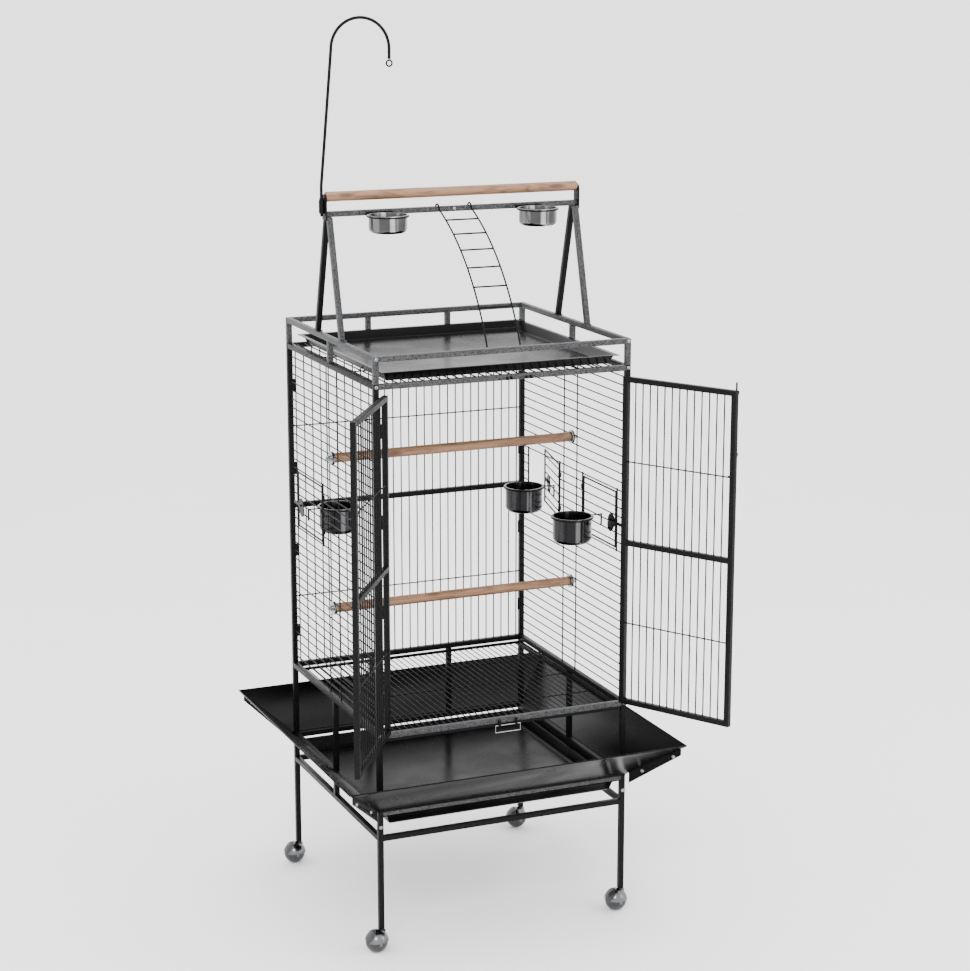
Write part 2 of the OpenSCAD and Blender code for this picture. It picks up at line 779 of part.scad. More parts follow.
module play_rim() {
    color(c_vein) difference() {
        union() {
            for (x = [-half_w, in_w], y = [-half_d, in_d])
                rail([x, y, z_gap], [x + tube, y + tube, z_top]);
            for (y = [-half_d, in_d]) rail([-in_w, y, z_rim], [in_w, y + tube, z_top]);
            for (x = [-half_w, in_w]) {
                rail([x, -in_d, z_rim], [x + tube, in_d, z_top]);
                rail([x, -tube / 2, z_gap], [x + tube, tube / 2, z_rim]);
            }
            for (s = [-1, 1]) rail([s * cage_w / 6 - tube / 2, in_d, z_gap],
                                  [s * cage_w / 6 + tube / 2, half_d, z_rim]);
        }
        rim_screws() screw_hole();
    }
}

// Inverted V of two legs, with the end plate that carries the crossbar, perch and hook
module play_leg(side) {
    rise = z_bar - tube / 2 - z_top;
    run = play_foot - play_splay;
    lean = atan2(run, rise);
    length = sqrt(rise * rise + run * run);
    color(c_vein) on_side(side) {
        for (s = [-1, 1]) difference() {
            intersection() {
                translate([in_w, s * play_foot, z_top]) rotate([s * lean, 0, 0])
                    translate([0, -tube / 2, -tube]) cube([tube, tube, length + 2 * tube]);
                box([in_w - 1, -half_d, z_top], [half_w + 1, half_d, z_bar - tube / 2]);
            }
            translate([in_w, s * play_foot, z_top]) rotate([s * lean, 0, 0])
                translate([tube_wall, tube_wall - tube / 2, tube])
                cube([tube - 2 * tube_wall, tube - 2 * tube_wall, length - 2.5 * tube]);
        }
        // Foot brackets on the rim rail
        for (s = [-1, 1]) box([in_w - 2, s * play_foot - 11, z_top], [half_w, s * play_foot + 11, z_top + 2]);
        // End plate
        box([half_w, -plate_w / 2, z_bar - 12], [half_w + plate_t, plate_w / 2, z_bar - 12 + plate_h - plate_w / 2]);
        bar_x(half_w, half_w + plate_t, 0, z_bar - 12 + plate_h - plate_w / 2, plate_w + 0.8);
        box([in_w + 0.5, -plate_w / 2, z_bar - 12], [half_w, plate_w / 2, z_bar - tube / 2]);
        // Sleeve for the toy hook, on the left side only
        if (side < 0) difference() {
            bar_z(hook_x, 0, z_bar + 2, z_bar + 32, hook_d + 2 * sleeve_wall);
            bar_z(hook_x, 0, z_bar, z_bar + 34, hook_d + 0.16);
        }
    }
}

module crossbar() {
    color(c_vein) difference() {
        rail([-half_w, -tube / 2, z_bar - tube / 2], [half_w, tube / 2, z_bar + tube / 2]);
        translate([0, -tube / 2, z_bar]) rotate([90, 0, 0]) screw_hole();
    }
}

bowl_ring_r = bowl_d / 2 + cup_play + ring_wire / 2;
bowl_y = -tube / 2 - ring_gap - bowl_ring_r;
bowl_ring_z = z_bar - 3;
module bowl_rings() {
    color(c_tube) for (s = [-1, 1]) translate([s * bowl_x, 0, bowl_ring_z]) {
        translate([0, bowl_y, 0]) rotate_extrude($fn = 96) translate([bowl_ring_r, 0]) circle(d = ring_wire);
        for (t = [-1, 1]) bar_y(t * 22, bowl_y + sqrt(bowl_ring_r * bowl_ring_r - 22 * 22), -tube / 2, 0, arm_wire);
        box([-32, -tube / 2 - 2, -3], [32, -tube / 2, 5]);
    }
}
module bowl(side) {
    color(c_steel) translate([side * bowl_x, bowl_y, bowl_ring_z + ring_wire / 2 + 0.1]) cup(bowl_d, bowl_h, 10);
}

module top_perch() {
    color(c_wood) bar_x(-half_w + 0.3, half_w - 0.3, 0, z_bar + top_perch_rise, perch_d);
}

// Ladder that hooks on the crossbar and bows out to the front rim rail
ladder_hook_r = tube / sqrt(2) + ladder_wire / 2 + 0.3;
ladder_y0 = -ladder_hook_r;
ladder_z0 = z_bar;
ladder_y1 = -in_d - 3;
ladder_z1 = z_top + ladder_wire / 2 + 0.3;
ladder_dy = ladder_y1 - ladder_y0;
ladder_dz = ladder_z1 - ladder_z0;
ladder_chord = sqrt(ladder_dy * ladder_dy + ladder_dz * ladder_dz);
ladder_sweep = 2 * asin(ladder_chord / 2 / ladder_radius);
ladder_drop = sqrt(ladder_radius * ladder_radius - ladder_chord * ladder_chord / 4);
ladder_cy = (ladder_y0 + ladder_y1) / 2 - ladder_drop * ladder_dz / ladder_chord;
ladder_cz = (ladder_z0 + ladder_z1) / 2 + ladder_drop * ladder_dy / ladder_chord;
ladder_a0 = atan2(ladder_z0 - ladder_cz, ladder_y0 - ladder_cy);
module ladder() {
    color(c_tube) {
        for (s = [-1, 1]) translate([s * ladder_half, ladder_cy, ladder_cz]) rotate([90, 0, 90])
            rotate([0, 0, ladder_a0]) rotate_extrude(angle = ladder_sweep, $fn = 360)
            translate([ladder_radius, 0]) circle(d = ladder_wire);
        for (i = [0 : ladder_rungs - 1]) {
            a = ladder_a0 + (43.8 + i * ladder_pitch) / ladder_radius * 180 / PI;
            bar_x(-ladder_half, ladder_half, ladder_cy + ladder_radius * cos(a),
                  ladder_cz + ladder_radius * sin(a), ladder_wire - 0.5);
        }
        // Round hooks over the crossbar
        for (s = [-1, 1]) {
            translate([s * ladder_half, 0, z_bar]) rotate([90, 0, 90]) rotate([0, 0, -20])
                rotate_extrude(angle = 200, $fn = 72) translate([ladder_hook_r, 0]) circle(d = ladder_wire);
            translate([s * ladder_half, ladder_y0, ladder_z0]) sphere(d = ladder_wire + 0.4);
        }
    }
}

// Rod that swivels in its sleeve and curls over to an eye
module toy_hook() {
    z0 = z_bar + 60;
    z1 = z_bar + hook_top_z;
    lean = atan2(hook_x - hook_top_x, z1 - z0);
    color(c_tube) {
        bar_z(-hook_x, 0, z_bar - 4, z0, hook_d);
        bar_z(-hook_x, 0, z_bar + 32.4, z_bar + 35, hook_d + 4);
        translate([-hook_x, 0, z0]) sphere(d = hook_d + 0.4);
        translate([-hook_x, 0, z0]) rotate([0, lean, 0])
            cylinder(d = hook_d, h = norm([hook_x - hook_top_x, z1 - z0]));
        translate([-hook_top_x, 0, z1]) sphere(d = hook_d + 0.4);
        translate([-hook_top_x + hook_r, 0, z1]) rotate([90, 0, 0])
            rotate_extrude(angle = 180, $fn = 96) translate([hook_r, 0]) circle(d = hook_d);
        bar_z(-hook_top_x + 2 * hook_r, 0, z1 - hook_tail, z1 + 0.5, hook_d - 0.2);
        translate([-hook_top_x + 2 * hook_r, 0, z1 - hook_tail - eye_r]) rotate([90, 0, 0])
            rotate_extrude($fn = 72) translate([eye_r, 0]) circle(d = eye_wire);
    }
}

module frame_screws() {
    color(c_steel) {
        leg_screws() screw();
        base_screws() screw();
        panel_screws() screw();
        rim_screws() screw();
        guard_screws() screw();
        translate([0, -tube / 2, z_bar]) rotate([90, 0, 0]) screw();
    }
}

stand_side(-1);  // stand_side_left
stand_side(1);  // stand_side_right
stand_rails();
caster_hood(-1, -1);  // caster_hood_front_left
caster_hood(1, -1);  // caster_hood_front_right
caster_hood(-1, 1);  // caster_hood_rear_left
caster_hood(1, 1);  // caster_hood_rear_right
caster_ball(-1, -1);  // caster_ball_front_left
caster_ball(1, -1);  // caster_ball_front_right
caster_ball(-1, 1);  // caster_ball_rear_left
caster_ball(1, 1);  // caster_ball_rear_right
base_side(-1);  // base_side_left
base_side(1);  // base_side_right
base_rail_front();
base_frame_rear();
seed_guard(180);  // seed_guard_front
seed_guard(0);  // seed_guard_rear
seed_guard(90);  // seed_guard_left
seed_guard(-90);  // seed_guard_right
frame_screws();
dropping_tray();
floor_grate();
grate_pull();
sill_rail();
side_panel(-1);  // side_panel_left
side_panel(1);  // side_panel_right
rear_panel();
header_rail();
door_hinge_pins();
door_left();
door_right();
door_bolt_left();
door_bolt_right();
feeder_door(-1, 1, 0);  // feeder_door_left_rear
feeder_door(1, -1, 0);  // feeder_door_right_front
feeder_door(1, 1, feeder_ajar);  // feeder_door_right_rear
feeder_ring(-1, 1, 0);  // feeder_ring_left_rear
feeder_ring(1, -1, 0);  // feeder_ring_right_front
feeder_ring(1, 1, feeder_ajar);  // feeder_ring_right_rear
feeder_cup(-1, 1, 0);  // feeder_cup_left_rear
feeder_cup(1, -1, 0);  // feeder_cup_right_front
feeder_cup(1, 1, feeder_ajar);  // feeder_cup_right_rear
feeder_latch(-1, 1, 0);  // feeder_latch_left_rear
feeder_latch(1, -1, 0);  // feeder_latch_right_front
feeder_latch(1, 1, feeder_ajar);  // feeder_latch_right_rear
cage_perch(perch_z_high);  // perch_upper
cage_perch(perch_z_low);  // perch_lower
perch_clamps();
roof_grille();
play_rim();
play_tray();
play_leg(-1);  // play_leg_left
play_leg(1);  // play_leg_right
crossbar();
bowl_rings();
bowl(-1);  // bowl_left
bowl(1);  // bowl_right
top_perch();
ladder();
toy_hook();
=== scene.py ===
# %% [markdown]
# A play-top parrot cage on a wheeled stand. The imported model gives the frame, every joint and the
# place of every piece. This file gives the pieces their finish, and rebuilds those whose edges,
# lathe-turned curves or repeated wires deserve more than a plain solid.

# %% Load the frame
import bpy, bmesh, json, math
from mathutils import Matrix, Vector


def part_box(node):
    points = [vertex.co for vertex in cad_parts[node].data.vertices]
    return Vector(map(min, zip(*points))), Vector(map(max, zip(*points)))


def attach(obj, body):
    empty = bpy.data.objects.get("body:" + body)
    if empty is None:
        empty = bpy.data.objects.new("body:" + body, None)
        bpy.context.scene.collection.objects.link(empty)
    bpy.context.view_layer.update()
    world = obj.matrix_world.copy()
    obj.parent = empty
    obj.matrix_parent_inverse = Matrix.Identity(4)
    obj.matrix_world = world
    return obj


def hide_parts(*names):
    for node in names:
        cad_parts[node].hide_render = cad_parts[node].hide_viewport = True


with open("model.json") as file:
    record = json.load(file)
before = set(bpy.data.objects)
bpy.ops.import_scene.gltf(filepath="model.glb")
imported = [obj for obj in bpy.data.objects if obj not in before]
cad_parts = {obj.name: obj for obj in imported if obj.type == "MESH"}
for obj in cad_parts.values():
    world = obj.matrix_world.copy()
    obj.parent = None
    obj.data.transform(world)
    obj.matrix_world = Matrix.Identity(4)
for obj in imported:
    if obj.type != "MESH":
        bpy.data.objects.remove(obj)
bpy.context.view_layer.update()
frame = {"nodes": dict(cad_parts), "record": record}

nodes = frame["nodes"]

# %% [markdown]
# Finishes are node trees. A small helper starts each one, and a second adds a node and wires its
# inputs, so that a finish reads as a short recipe. Patterns use Object coordinates in metres: a
# noise of scale 400 has features of about 2.5 mm.

# %% Material helpers
def finish(name, color, metallic=0.0, roughness=0.5, **sockets):
    mat = bpy.data.materials.new(name)
    mat.use_nodes = True
    tree = mat.node_tree
    shader = tree.nodes["Principled BSDF"]
    shader.inputs["Base Color"].default_value = (*color, 1)
    shader.inputs["Metallic"].default_value = metallic
    shader.inputs["Roughness"].default_value = roughness
    for key, value in sockets.items():
        shader.inputs[key.replace("_", " ")].default_value = value
    mat.diffuse_color = (*color, 1)
    return mat, tree, shader


def node(tree, kind, links=None, **settings):
    n = tree.nodes.new(kind)
    for key, value in settings.items():
        if hasattr(n, key):
            setattr(n, key, value)
        else:
            n.inputs[key.replace("_", " ")].default_value = value
    for socket, source in (links or {}).items():
        tree.links.new(source, n.inputs[socket])
    return n


def ramp(tree, source, *stops):
    n = tree.nodes.new("ShaderNodeValToRGB")
    cr = n.color_ramp
    while len(cr.elements) < len(stops):
        cr.elements.new(0.5)
    for element, (place, color) in zip(cr.elements, stops):
        element.position = place
        element.color = (*color, 1) if len(color) == 3 else color
    tree.links.new(source, n.inputs["Fac"])
    return n.outputs["Color"]


def grey(v):
    return (v, v, v)


def coordinates(tree, scale=(1, 1, 1)):
    place = node(tree, "ShaderNodeTexCoord").outputs["Object"]
    return node(tree, "ShaderNodeMapping", {"Vector": place}, Scale=scale).outputs["Vector"]


def bump(tree, shader, height, strength, distance):
    n = node(tree, "ShaderNodeBump", {"Height": height}, Strength=strength, Distance=distance)
    tree.links.new(n.outputs["Normal"], shader.inputs["Normal"])


# %% [markdown]
# The tube of this cage is coated in silver vein: a black hammered lacquer in which metal flake
# gathers in a net of fine veins. A warped cell pattern gives the net, a second, finer one breaks
# it up, and the same pattern drives colour, gloss and a shallow bump.

# %% Silver vein lacquer
def vein_lacquer(name, dark, silver, net=210.0, spread=0.5):
    mat, tree, shader = finish(name, dark, 0.1, 0.4, Specular_IOR_Level=0.07)
    place = coordinates(tree)
    warp = node(tree, "ShaderNodeTexNoise", {"Vector": place}, Scale=net * 0.8, Detail=3.0)
    shift = node(tree, "ShaderNodeVectorMath", {0: warp.outputs["Color"]}, operation="SCALE", Scale=0.006)
    warped = node(tree, "ShaderNodeVectorMath", {0: place, 1: shift.outputs[0]}, operation="ADD")
    cells = node(tree, "ShaderNodeTexVoronoi", {"Vector": warped.outputs[0]}, feature="DISTANCE_TO_EDGE",
                 Scale=net)
    net_line = ramp(tree, cells.outputs["Distance"], (0.0, grey(1)), (0.16 * spread, grey(0.75)),
                    (0.5 * spread, grey(0)))
    flake = node(tree, "ShaderNodeTexNoise", {"Vector": place}, Scale=net * 2.6, Detail=2.0)
    flakes = ramp(tree, flake.outputs["Fac"], (0.48, grey(0)), (0.62, grey(1)))
    mask = node(tree, "ShaderNodeMath", {0: net_line, 1: flakes}, operation="MULTIPLY_ADD")
    mask.inputs[2].default_value = 0.0
    soft = node(tree, "ShaderNodeMath", {0: net_line, 1: mask.outputs[0]}, operation="ADD")
    color = ramp(tree, soft.outputs[0], (0.12, dark), (0.8, silver), (1.0, tuple(1.25 * c for c in silver)))
    tree.links.new(color, shader.inputs["Base Color"])
    tree.links.new(ramp(tree, soft.outputs[0], (0, grey(0.3)), (1, grey(0.5))), shader.inputs["Roughness"])
    bump(tree, shader, soft.outputs[0], 0.35, 0.0004)
    return mat


# The lacquer is made twice, as a lit copy and a shaded copy of the same finish. The shaded copy has far
# darker flake and is painted shade on most of the tube: the stand, the base, the side and rear panels, the
# doors and the rear legs of the play stand. The lit copy goes on the front rails, the rim, the crossbar and
# the front legs.
lit_vein = vein_lacquer("silver_vein", (0.0022, 0.0022, 0.0024), (0.062, 0.063, 0.066), 330, 0.45)
shaded_vein = vein_lacquer("shaded_vein", (0.0012, 0.0012, 0.0013), (0.006, 0.0062, 0.0065), 330, 0.4)

# %% [markdown]
# Wires are dipped in the same lacquer, but on a 3 mm rod it pulls smooth and reads almost black,
# with only a faint unevenness of gloss.

# %% Lacquered wire
wire_black, tree, shader = finish("wire_lacquer", (0.002, 0.002, 0.0022), 0.0, 0.45, Specular_IOR_Level=0.07)
speck = node(tree, "ShaderNodeTexNoise", {"Vector": coordinates(tree)}, Scale=420.0, Detail=3.0)
tree.links.new(ramp(tree, speck.outputs["Fac"], (0.35, (0.0016, 0.0016, 0.0018)),
                    (0.62, (0.0036, 0.0036, 0.0038)),
                    (0.75, (0.012, 0.012, 0.0125))), shader.inputs["Base Color"])
tree.links.new(ramp(tree, speck.outputs["Fac"], (0.3, grey(0.34)), (0.7, grey(0.55))),
               shader.inputs["Roughness"])
bump(tree, shader, speck.outputs["Fac"], 0.25, 0.0003)

# %% [markdown]
# Trays and seed guards are pressed sheet with gloss black enamel. Enamel that is sprayed and baked
# has a faint orange peel, soft clouds of gloss and a few light scuffs.

# %% Gloss black enamel
enamel, tree, shader = finish("gloss_enamel", (0.0012, 0.0012, 0.0014), 0.0, 0.2, Specular_IOR_Level=0.06)
place = coordinates(tree)
peel = node(tree, "ShaderNodeTexNoise", {"Vector": place}, Scale=260.0, Detail=2.0)
cloud = node(tree, "ShaderNodeTexNoise", {"Vector": place}, Scale=9.0, Detail=4.0)
scuff = node(tree, "ShaderNodeTexNoise", {"Vector": coordinates(tree, (6, 90, 6))}, Scale=3.0, Detail=6.0)
tree.links.new(ramp(tree, cloud.outputs["Fac"], (0.3, grey(0.17)), (0.7, grey(0.31))),
               shader.inputs["Roughness"])
tree.links.new(ramp(tree, scuff.outputs["Fac"], (0.5, (0.0011, 0.0011, 0.0013)),
                    (0.78, (0.0026, 0.0026, 0.003))),
               shader.inputs["Base Color"])
bump(tree, shader, peel.outputs["Fac"], 0.12, 0.0003)

# %% [markdown]
# The bowls are spun stainless steel. Spinning leaves rings round the axis, so the fine lines of the
# finish come from a noise squeezed flat in height, which runs round every wall at once.
# The bands of dark and light are painted on by the direction that a wall faces. They stand in for the
# reflections of a room, which this plain studio doesn't have.

# %% Stainless steel, bright and dark
def spun_steel(name, color, low, high, bands=False):
    mat, tree, shader = finish(name, color, 1.0, low)
    rings = node(tree, "ShaderNodeTexNoise", {"Vector": coordinates(tree, (9, 9, 2600))},
                 Scale=1.0, Detail=3.0)
    smear = node(tree, "ShaderNodeTexNoise", {"Vector": coordinates(tree)}, Scale=40.0, Detail=3.0)
    both = node(tree, "ShaderNodeMath", {0: rings.outputs["Fac"], 1: smear.outputs["Fac"]},
                operation="MULTIPLY")
    tree.links.new(ramp(tree, both.outputs[0], (0.12, grey(low)), (0.45, grey(high))),
                   shader.inputs["Roughness"])
    tone = ramp(tree, smear.outputs["Fac"], (0.3, tuple(0.8 * c for c in color)), (0.7, color))
    if bands:
        facing = node(tree, "ShaderNodeNewGeometry").outputs["Normal"]
        across = node(tree, "ShaderNodeVectorMath", {0: facing}, operation="DOT_PRODUCT")
        across.inputs[1].default_value = (0.5, -0.21, 0)
        shifted = node(tree, "ShaderNodeMath", {0: across.outputs["Value"]}, operation="ADD")
        shifted.inputs[1].default_value = 0.5
        dark, middle, light = grey(0.06), grey(0.32), grey(1)
        stripes = ramp(tree, shifted.outputs[0], (0.0, dark), (0.08, middle), (0.24, middle), (0.30, dark),
                       (0.56, dark), (0.60, light), (0.70, light), (0.73, dark), (0.78, middle), (0.82, dark),
                       (0.97, dark), (1.0, middle))
        both = node(tree, "ShaderNodeMix", {6: tone, 7: stripes}, data_type="RGBA", blend_type="MULTIPLY")
        both.inputs[0].default_value = 0.9
        tone = both.outputs[2]
    tree.links.new(tone, shader.inputs["Base Color"])
    bump(tree, shader, rings.outputs["Fac"], 0.04, 0.0002)
    return mat


bright_steel = spun_steel("bright_steel", (0.42, 0.42, 0.43), 0.10, 0.26, bands=True)
dark_steel = spun_steel("dark_steel", (0.10, 0.10, 0.105), 0.12, 0.26, bands=True)
zinc = spun_steel("zinc_plate", (0.30, 0.305, 0.31), 0.22, 0.42)
hood_chrome = spun_steel("hood_chrome", (0.13, 0.135, 0.14), 0.14, 0.3)

# %% Hard dark plastic of the caster balls
ball_plastic, tree, shader = finish("ball_plastic", (0.012, 0.012, 0.013), 0.0, 0.38)
scratch = node(tree, "ShaderNodeTexNoise", {"Vector": coordinates(tree)}, Scale=180.0, Detail=5.0)
tree.links.new(ramp(tree, scratch.outputs["Fac"], (0.3, (0.006, 0.006, 0.007)),
                    (0.72, (0.028, 0.028, 0.029))),
               shader.inputs["Base Color"])
bump(tree, shader, scratch.outputs["Fac"], 0.2, 0.0003)

# %% [markdown]
# The perches are turned pine. Grain runs along x, so growth rings are a wave across y and z that a
# long, lazy noise pushes about, fine pores are a noise drawn out along x, and knots are a sparse
# cell pattern that both darkens the wood and bends the rings round itself.

# %% Pine
pine, tree, shader = finish("pine", (0.55, 0.30, 0.17), 0.0, 0.55)
long_way = coordinates(tree, (3.2, 34, 34))
drift = node(tree, "ShaderNodeTexNoise", {"Vector": long_way}, Scale=1.0, Detail=4.0, Distortion=0.6)
knots = node(tree, "ShaderNodeTexVoronoi", {"Vector": coordinates(tree, (11, 38, 38))}, Scale=1.0,
             Randomness=1.0)
knot = ramp(tree, knots.outputs["Distance"], (0.0, grey(1)), (0.16, grey(0.75)), (0.3, grey(0)))
sway = node(tree, "ShaderNodeMath", {0: drift.outputs["Fac"], 1: knot}, operation="ADD")
rings = node(tree, "ShaderNodeMath", {0: sway.outputs[0]}, operation="MULTIPLY")
rings.inputs[1].default_value = 46.0
wave = node(tree, "ShaderNodeMath", {0: rings.outputs[0]}, operation="SINE")
pores = node(tree, "ShaderNodeTexNoise", {"Vector": coordinates(tree, (40, 1500, 1500))},
             Scale=1.0, Detail=2.0)
wood = ramp(tree, wave.outputs[0], (0.0, (0.225, 0.120, 0.062)), (0.55, (0.19, 0.096, 0.047)),
            (1.0, (0.145, 0.068, 0.031)))
dark_knot = node(tree, "ShaderNodeMix", {0: knot, 6: wood}, data_type="RGBA")
dark_knot.inputs[7].default_value = (0.055, 0.019, 0.009, 1)
porous = node(tree, "ShaderNodeMix", {6: dark_knot.outputs[2]}, data_type="RGBA", blend_type="MULTIPLY")
porous.inputs[0].default_value = 0.45
tree.links.new(ramp(tree, pores.outputs["Fac"], (0.34, grey(0.55)), (0.5, grey(1))), porous.inputs[7])
tree.links.new(porous.outputs[2], shader.inputs["Base Color"])
bump(tree, shader, pores.outputs["Fac"], 0.25, 0.0003)

# %% [markdown]
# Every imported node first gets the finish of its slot, so nothing is left plain. Pieces that are
# rebuilt further down take the finish again with their own mesh.

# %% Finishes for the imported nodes
slot_finish = {"powder_coat": wire_black, "silver_vein": lit_vein, "gloss_black": enamel,
               "bright_steel": bright_steel, "dark_steel": dark_steel, "pine": pine,
               "caster_grey": hood_chrome, "caster_black": ball_plastic}
slot_of = {p["node"]: p["material_slot"] for p in frame["record"]["subparts"]}
for name, obj in nodes.items():
    mat = slot_finish[slot_of[name]]
    if name in ("frame_screws", "perch_clamps"):
        mat = zinc
    # The tube of the stand, the base, the side and rear panels and the doors takes the shaded copy of the
    # lacquer, which is painted shade.
    if name.startswith(("stand_", "base_side", "base_frame", "side_panel", "rear_panel", "door_left",
                        "door_right")):
        mat = shaded_vein
    obj.data.materials.clear()
    obj.data.materials.append(mat)
print("finishes on", len(nodes), "nodes")

# %% [markdown]
# The rest of the file rebuilds pieces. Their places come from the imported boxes: the levels of the
# frame are the heights of its rails, and the plan is the outside of the crossbar and the rim.

# %% Levels and plan
def low(name):
    return Vector(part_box(name)[0])


def high(name):
    return Vector(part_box(name)[1])


half_w = high("play_rim").x
half_d = high("play_rim").y
tube = high("sill_rail").z - low("sill_rail").z
in_w, in_d = half_w - tube, half_d - tube
z_leg = low("stand_side_right").z
z_base = low("base_rail_front").z
z_floor, z_cage = low("sill_rail").z, high("sill_rail").z
z_roof = low("rear_panel").z + high("rear_panel").z - low("rear_panel").z - tube
z_gap, z_top = z_roof + tube, high("play_rim").z
z_bar = (low("crossbar").z + high("crossbar").z) / 2
pitch, wire_r = 0.020, 0.0015
print("tube", round(tube, 4), "levels", [round(z, 3) for z in (z_leg, z_base, z_floor, z_roof, z_top)])

# %% [markdown]
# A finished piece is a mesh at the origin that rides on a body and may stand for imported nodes.

# %% Piece helpers
def new_piece(name, mesh, mat, body, *stands_for):
    obj = bpy.data.objects.new(name, mesh)
    bpy.context.scene.collection.objects.link(obj)
    if mat:
        mesh.materials.clear()
        mesh.materials.append(mat)
    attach(obj, body)
    if stands_for:
        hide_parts(*stands_for)
    return obj


def from_bmesh(name, bm, smooth=True):
    mesh = bpy.data.meshes.new(name)
    bm.to_mesh(mesh)
    bm.free()
    for p in mesh.polygons:
        p.use_smooth = smooth
    if smooth:
        mesh.set_sharp_from_angle(angle=math.radians(35))
    return mesh


# %% [markdown]
# Square tube is never knife-edged. Each length is a cube stretched between two corners, with its
# edges bevelled by a little over a millimetre, so they catch a line of light.

# %% Square tube
def add_bar(bm, lo, hi, edge=0.0012, turn=None, segments=2):
    lo, hi = Vector(lo), Vector(hi)
    size, centre = hi - lo, (hi + lo) / 2
    new = bmesh.ops.create_cube(bm, size=1.0)["verts"]
    for v in new:
        v.co = Vector((v.co.x * size.x, v.co.y * size.y, v.co.z * size.z))
    edges = list({e for v in new for e in v.link_edges})
    out = bmesh.ops.bevel(bm, geom=edges, offset=min(edge, min(size) * 0.45), segments=segments,
                          affect="EDGES", profile=0.6)
    verts = {v for f in out["faces"] for v in f.verts} | {v for v in new if v.is_valid}
    place = Matrix.Translation(centre) if turn is None else turn @ Matrix.Translation(centre)
    bmesh.ops.transform(bm, matrix=place, verts=list(verts))


def bars_mesh(name, bars, turn=None):
    bm = bmesh.new()
    for bar in bars:
        add_bar(bm, *bar, turn=turn)
    return from_bmesh(name, bm)


def bars_piece(name, bars, mat, body, *stands_for):
    return new_piece(name, bars_mesh(name, bars), mat, body, *stands_for)


# %% [markdown]
# Wire is drawn as strands, one polyline for each wire, and one Geometry Nodes tree turns every
# strand into a rod: mesh to curve, a circle swept along it, smooth shading and the finish. The same
# tree bends round a ring or a ladder rail as well as it fills a grille.

# %% Wire tree
def wire_tree():
    tree = bpy.data.node_groups.new("wire_from_strands", "GeometryNodeTree")
    face = tree.interface
    face.new_socket("Strands", in_out="INPUT", socket_type="NodeSocketGeometry")
    face.new_socket("Radius", in_out="INPUT", socket_type="NodeSocketFloat")
    face.new_socket("Sides", in_out="INPUT", socket_type="NodeSocketInt")
    face.new_socket("Finish", in_out="INPUT", socket_type="NodeSocketMaterial")
    face.new_socket("Wire", in_out="OUTPUT", socket_type="NodeSocketGeometry")
    add, link = tree.nodes.new, tree.links.new
    start, end = add("NodeGroupInput"), add("NodeGroupOutput")
    curve, circle, sweep = add("GeometryNodeMeshToCurve"), add("GeometryNodeCurvePrimitiveCircle"), add(
        "GeometryNodeCurveToMesh")
    smooth, real, coat = add("GeometryNodeSetShadeSmooth"), add("GeometryNodeRealizeInstances"), add(
        "GeometryNodeSetMaterial")
    sweep.inputs["Fill Caps"].default_value = True
    link(start.outputs["Strands"], curve.inputs["Mesh"])
    link(start.outputs["Sides"], circle.inputs["Resolution"])
    link(start.outputs["Radius"], circle.inputs["Radius"])
    link(curve.outputs["Curve"], sweep.inputs["Curve"])
    link(circle.outputs["Curve"], sweep.inputs["Profile Curve"])
    link(sweep.outputs["Mesh"], smooth.inputs["Geometry"])
    link(smooth.outputs["Geometry"], real.inputs["Geometry"])
    link(real.outputs["Geometry"], coat.inputs["Geometry"])
    link(start.outputs["Finish"], coat.inputs["Material"])
    link(coat.outputs["Geometry"], end.inputs["Wire"])
    return tree


tree_for_wire = wire_tree()
sockets = {s.name: s.identifier for s in tree_for_wire.interface.items_tree if s.in_out == "INPUT"}


def wires(name, strands, radius, mat, body, *stands_for, sides=10, turn=None):
    points, edges = [], []
    for strand in strands:
        first = len(points)
        points += [turn @ Vector(p) if turn else Vector(p) for p in strand]
        edges += [(i, i + 1) for i in range(first, len(points) - 1)]
    mesh = bpy.data.meshes.new(name + "_strands")
    mesh.from_pydata(points, edges, [])
    obj = bpy.data.objects.new(name + "_strands", mesh)
    bpy.context.scene.collection.objects.link(obj)
    modifier = obj.modifiers.new("wire", "NODES")
    modifier.node_group = tree_for_wire
    modifier[sockets["Radius"]] = radius
    modifier[sockets["Sides"]] = sides
    modifier[sockets["Finish"]] = mat
    graph = bpy.context.evaluated_depsgraph_get()
    swept = bpy.data.meshes.new_from_object(obj.evaluated_get(graph))
    swept.name = name
    swept.set_sharp_from_angle(angle=math.radians(50))
    obj.modifiers.remove(modifier)
    bpy.data.objects.remove(obj)
    print(name, len(strands), "strands,", len(swept.polygons), "faces")
    return new_piece(name, swept, mat, body, *stands_for)


def arc(centre, radius, start, stop, steps, plane="xy"):
    cx, cy, cz = centre
    out = []
    for i in range(steps + 1):
        a = math.radians(start + (stop - start) * i / steps)
        u, v = radius * math.cos(a), radius * math.sin(a)
        out.append((cx + u, cy + v, cz) if plane == "xy" else
                   (cx + u, cy, cz + v) if plane == "xz" else (cx, cy + u, cz + v))
    return out


# %% [markdown]
# The stand and the base section are welded tube. Butting lengths run a little way into each other,
# as a fillet of weld does, so no gap shows between their rounded ends.

# %% Stand and base
into = 0.0015


def cross(x0, x1, y, z, over=into):
    return ((x0 - over, y - tube / 2, z), (x1 + over, y + tube / 2, z + tube))


def along(x, y0, y1, z, over=into):
    return ((x - tube / 2, y0 - over, z), (x + tube / 2, y1 + over, z + tube))


def post(x, y, z0, z1):
    return ((x - tube / 2, y - tube / 2, z0), (x + tube / 2, y + tube / 2, z1))


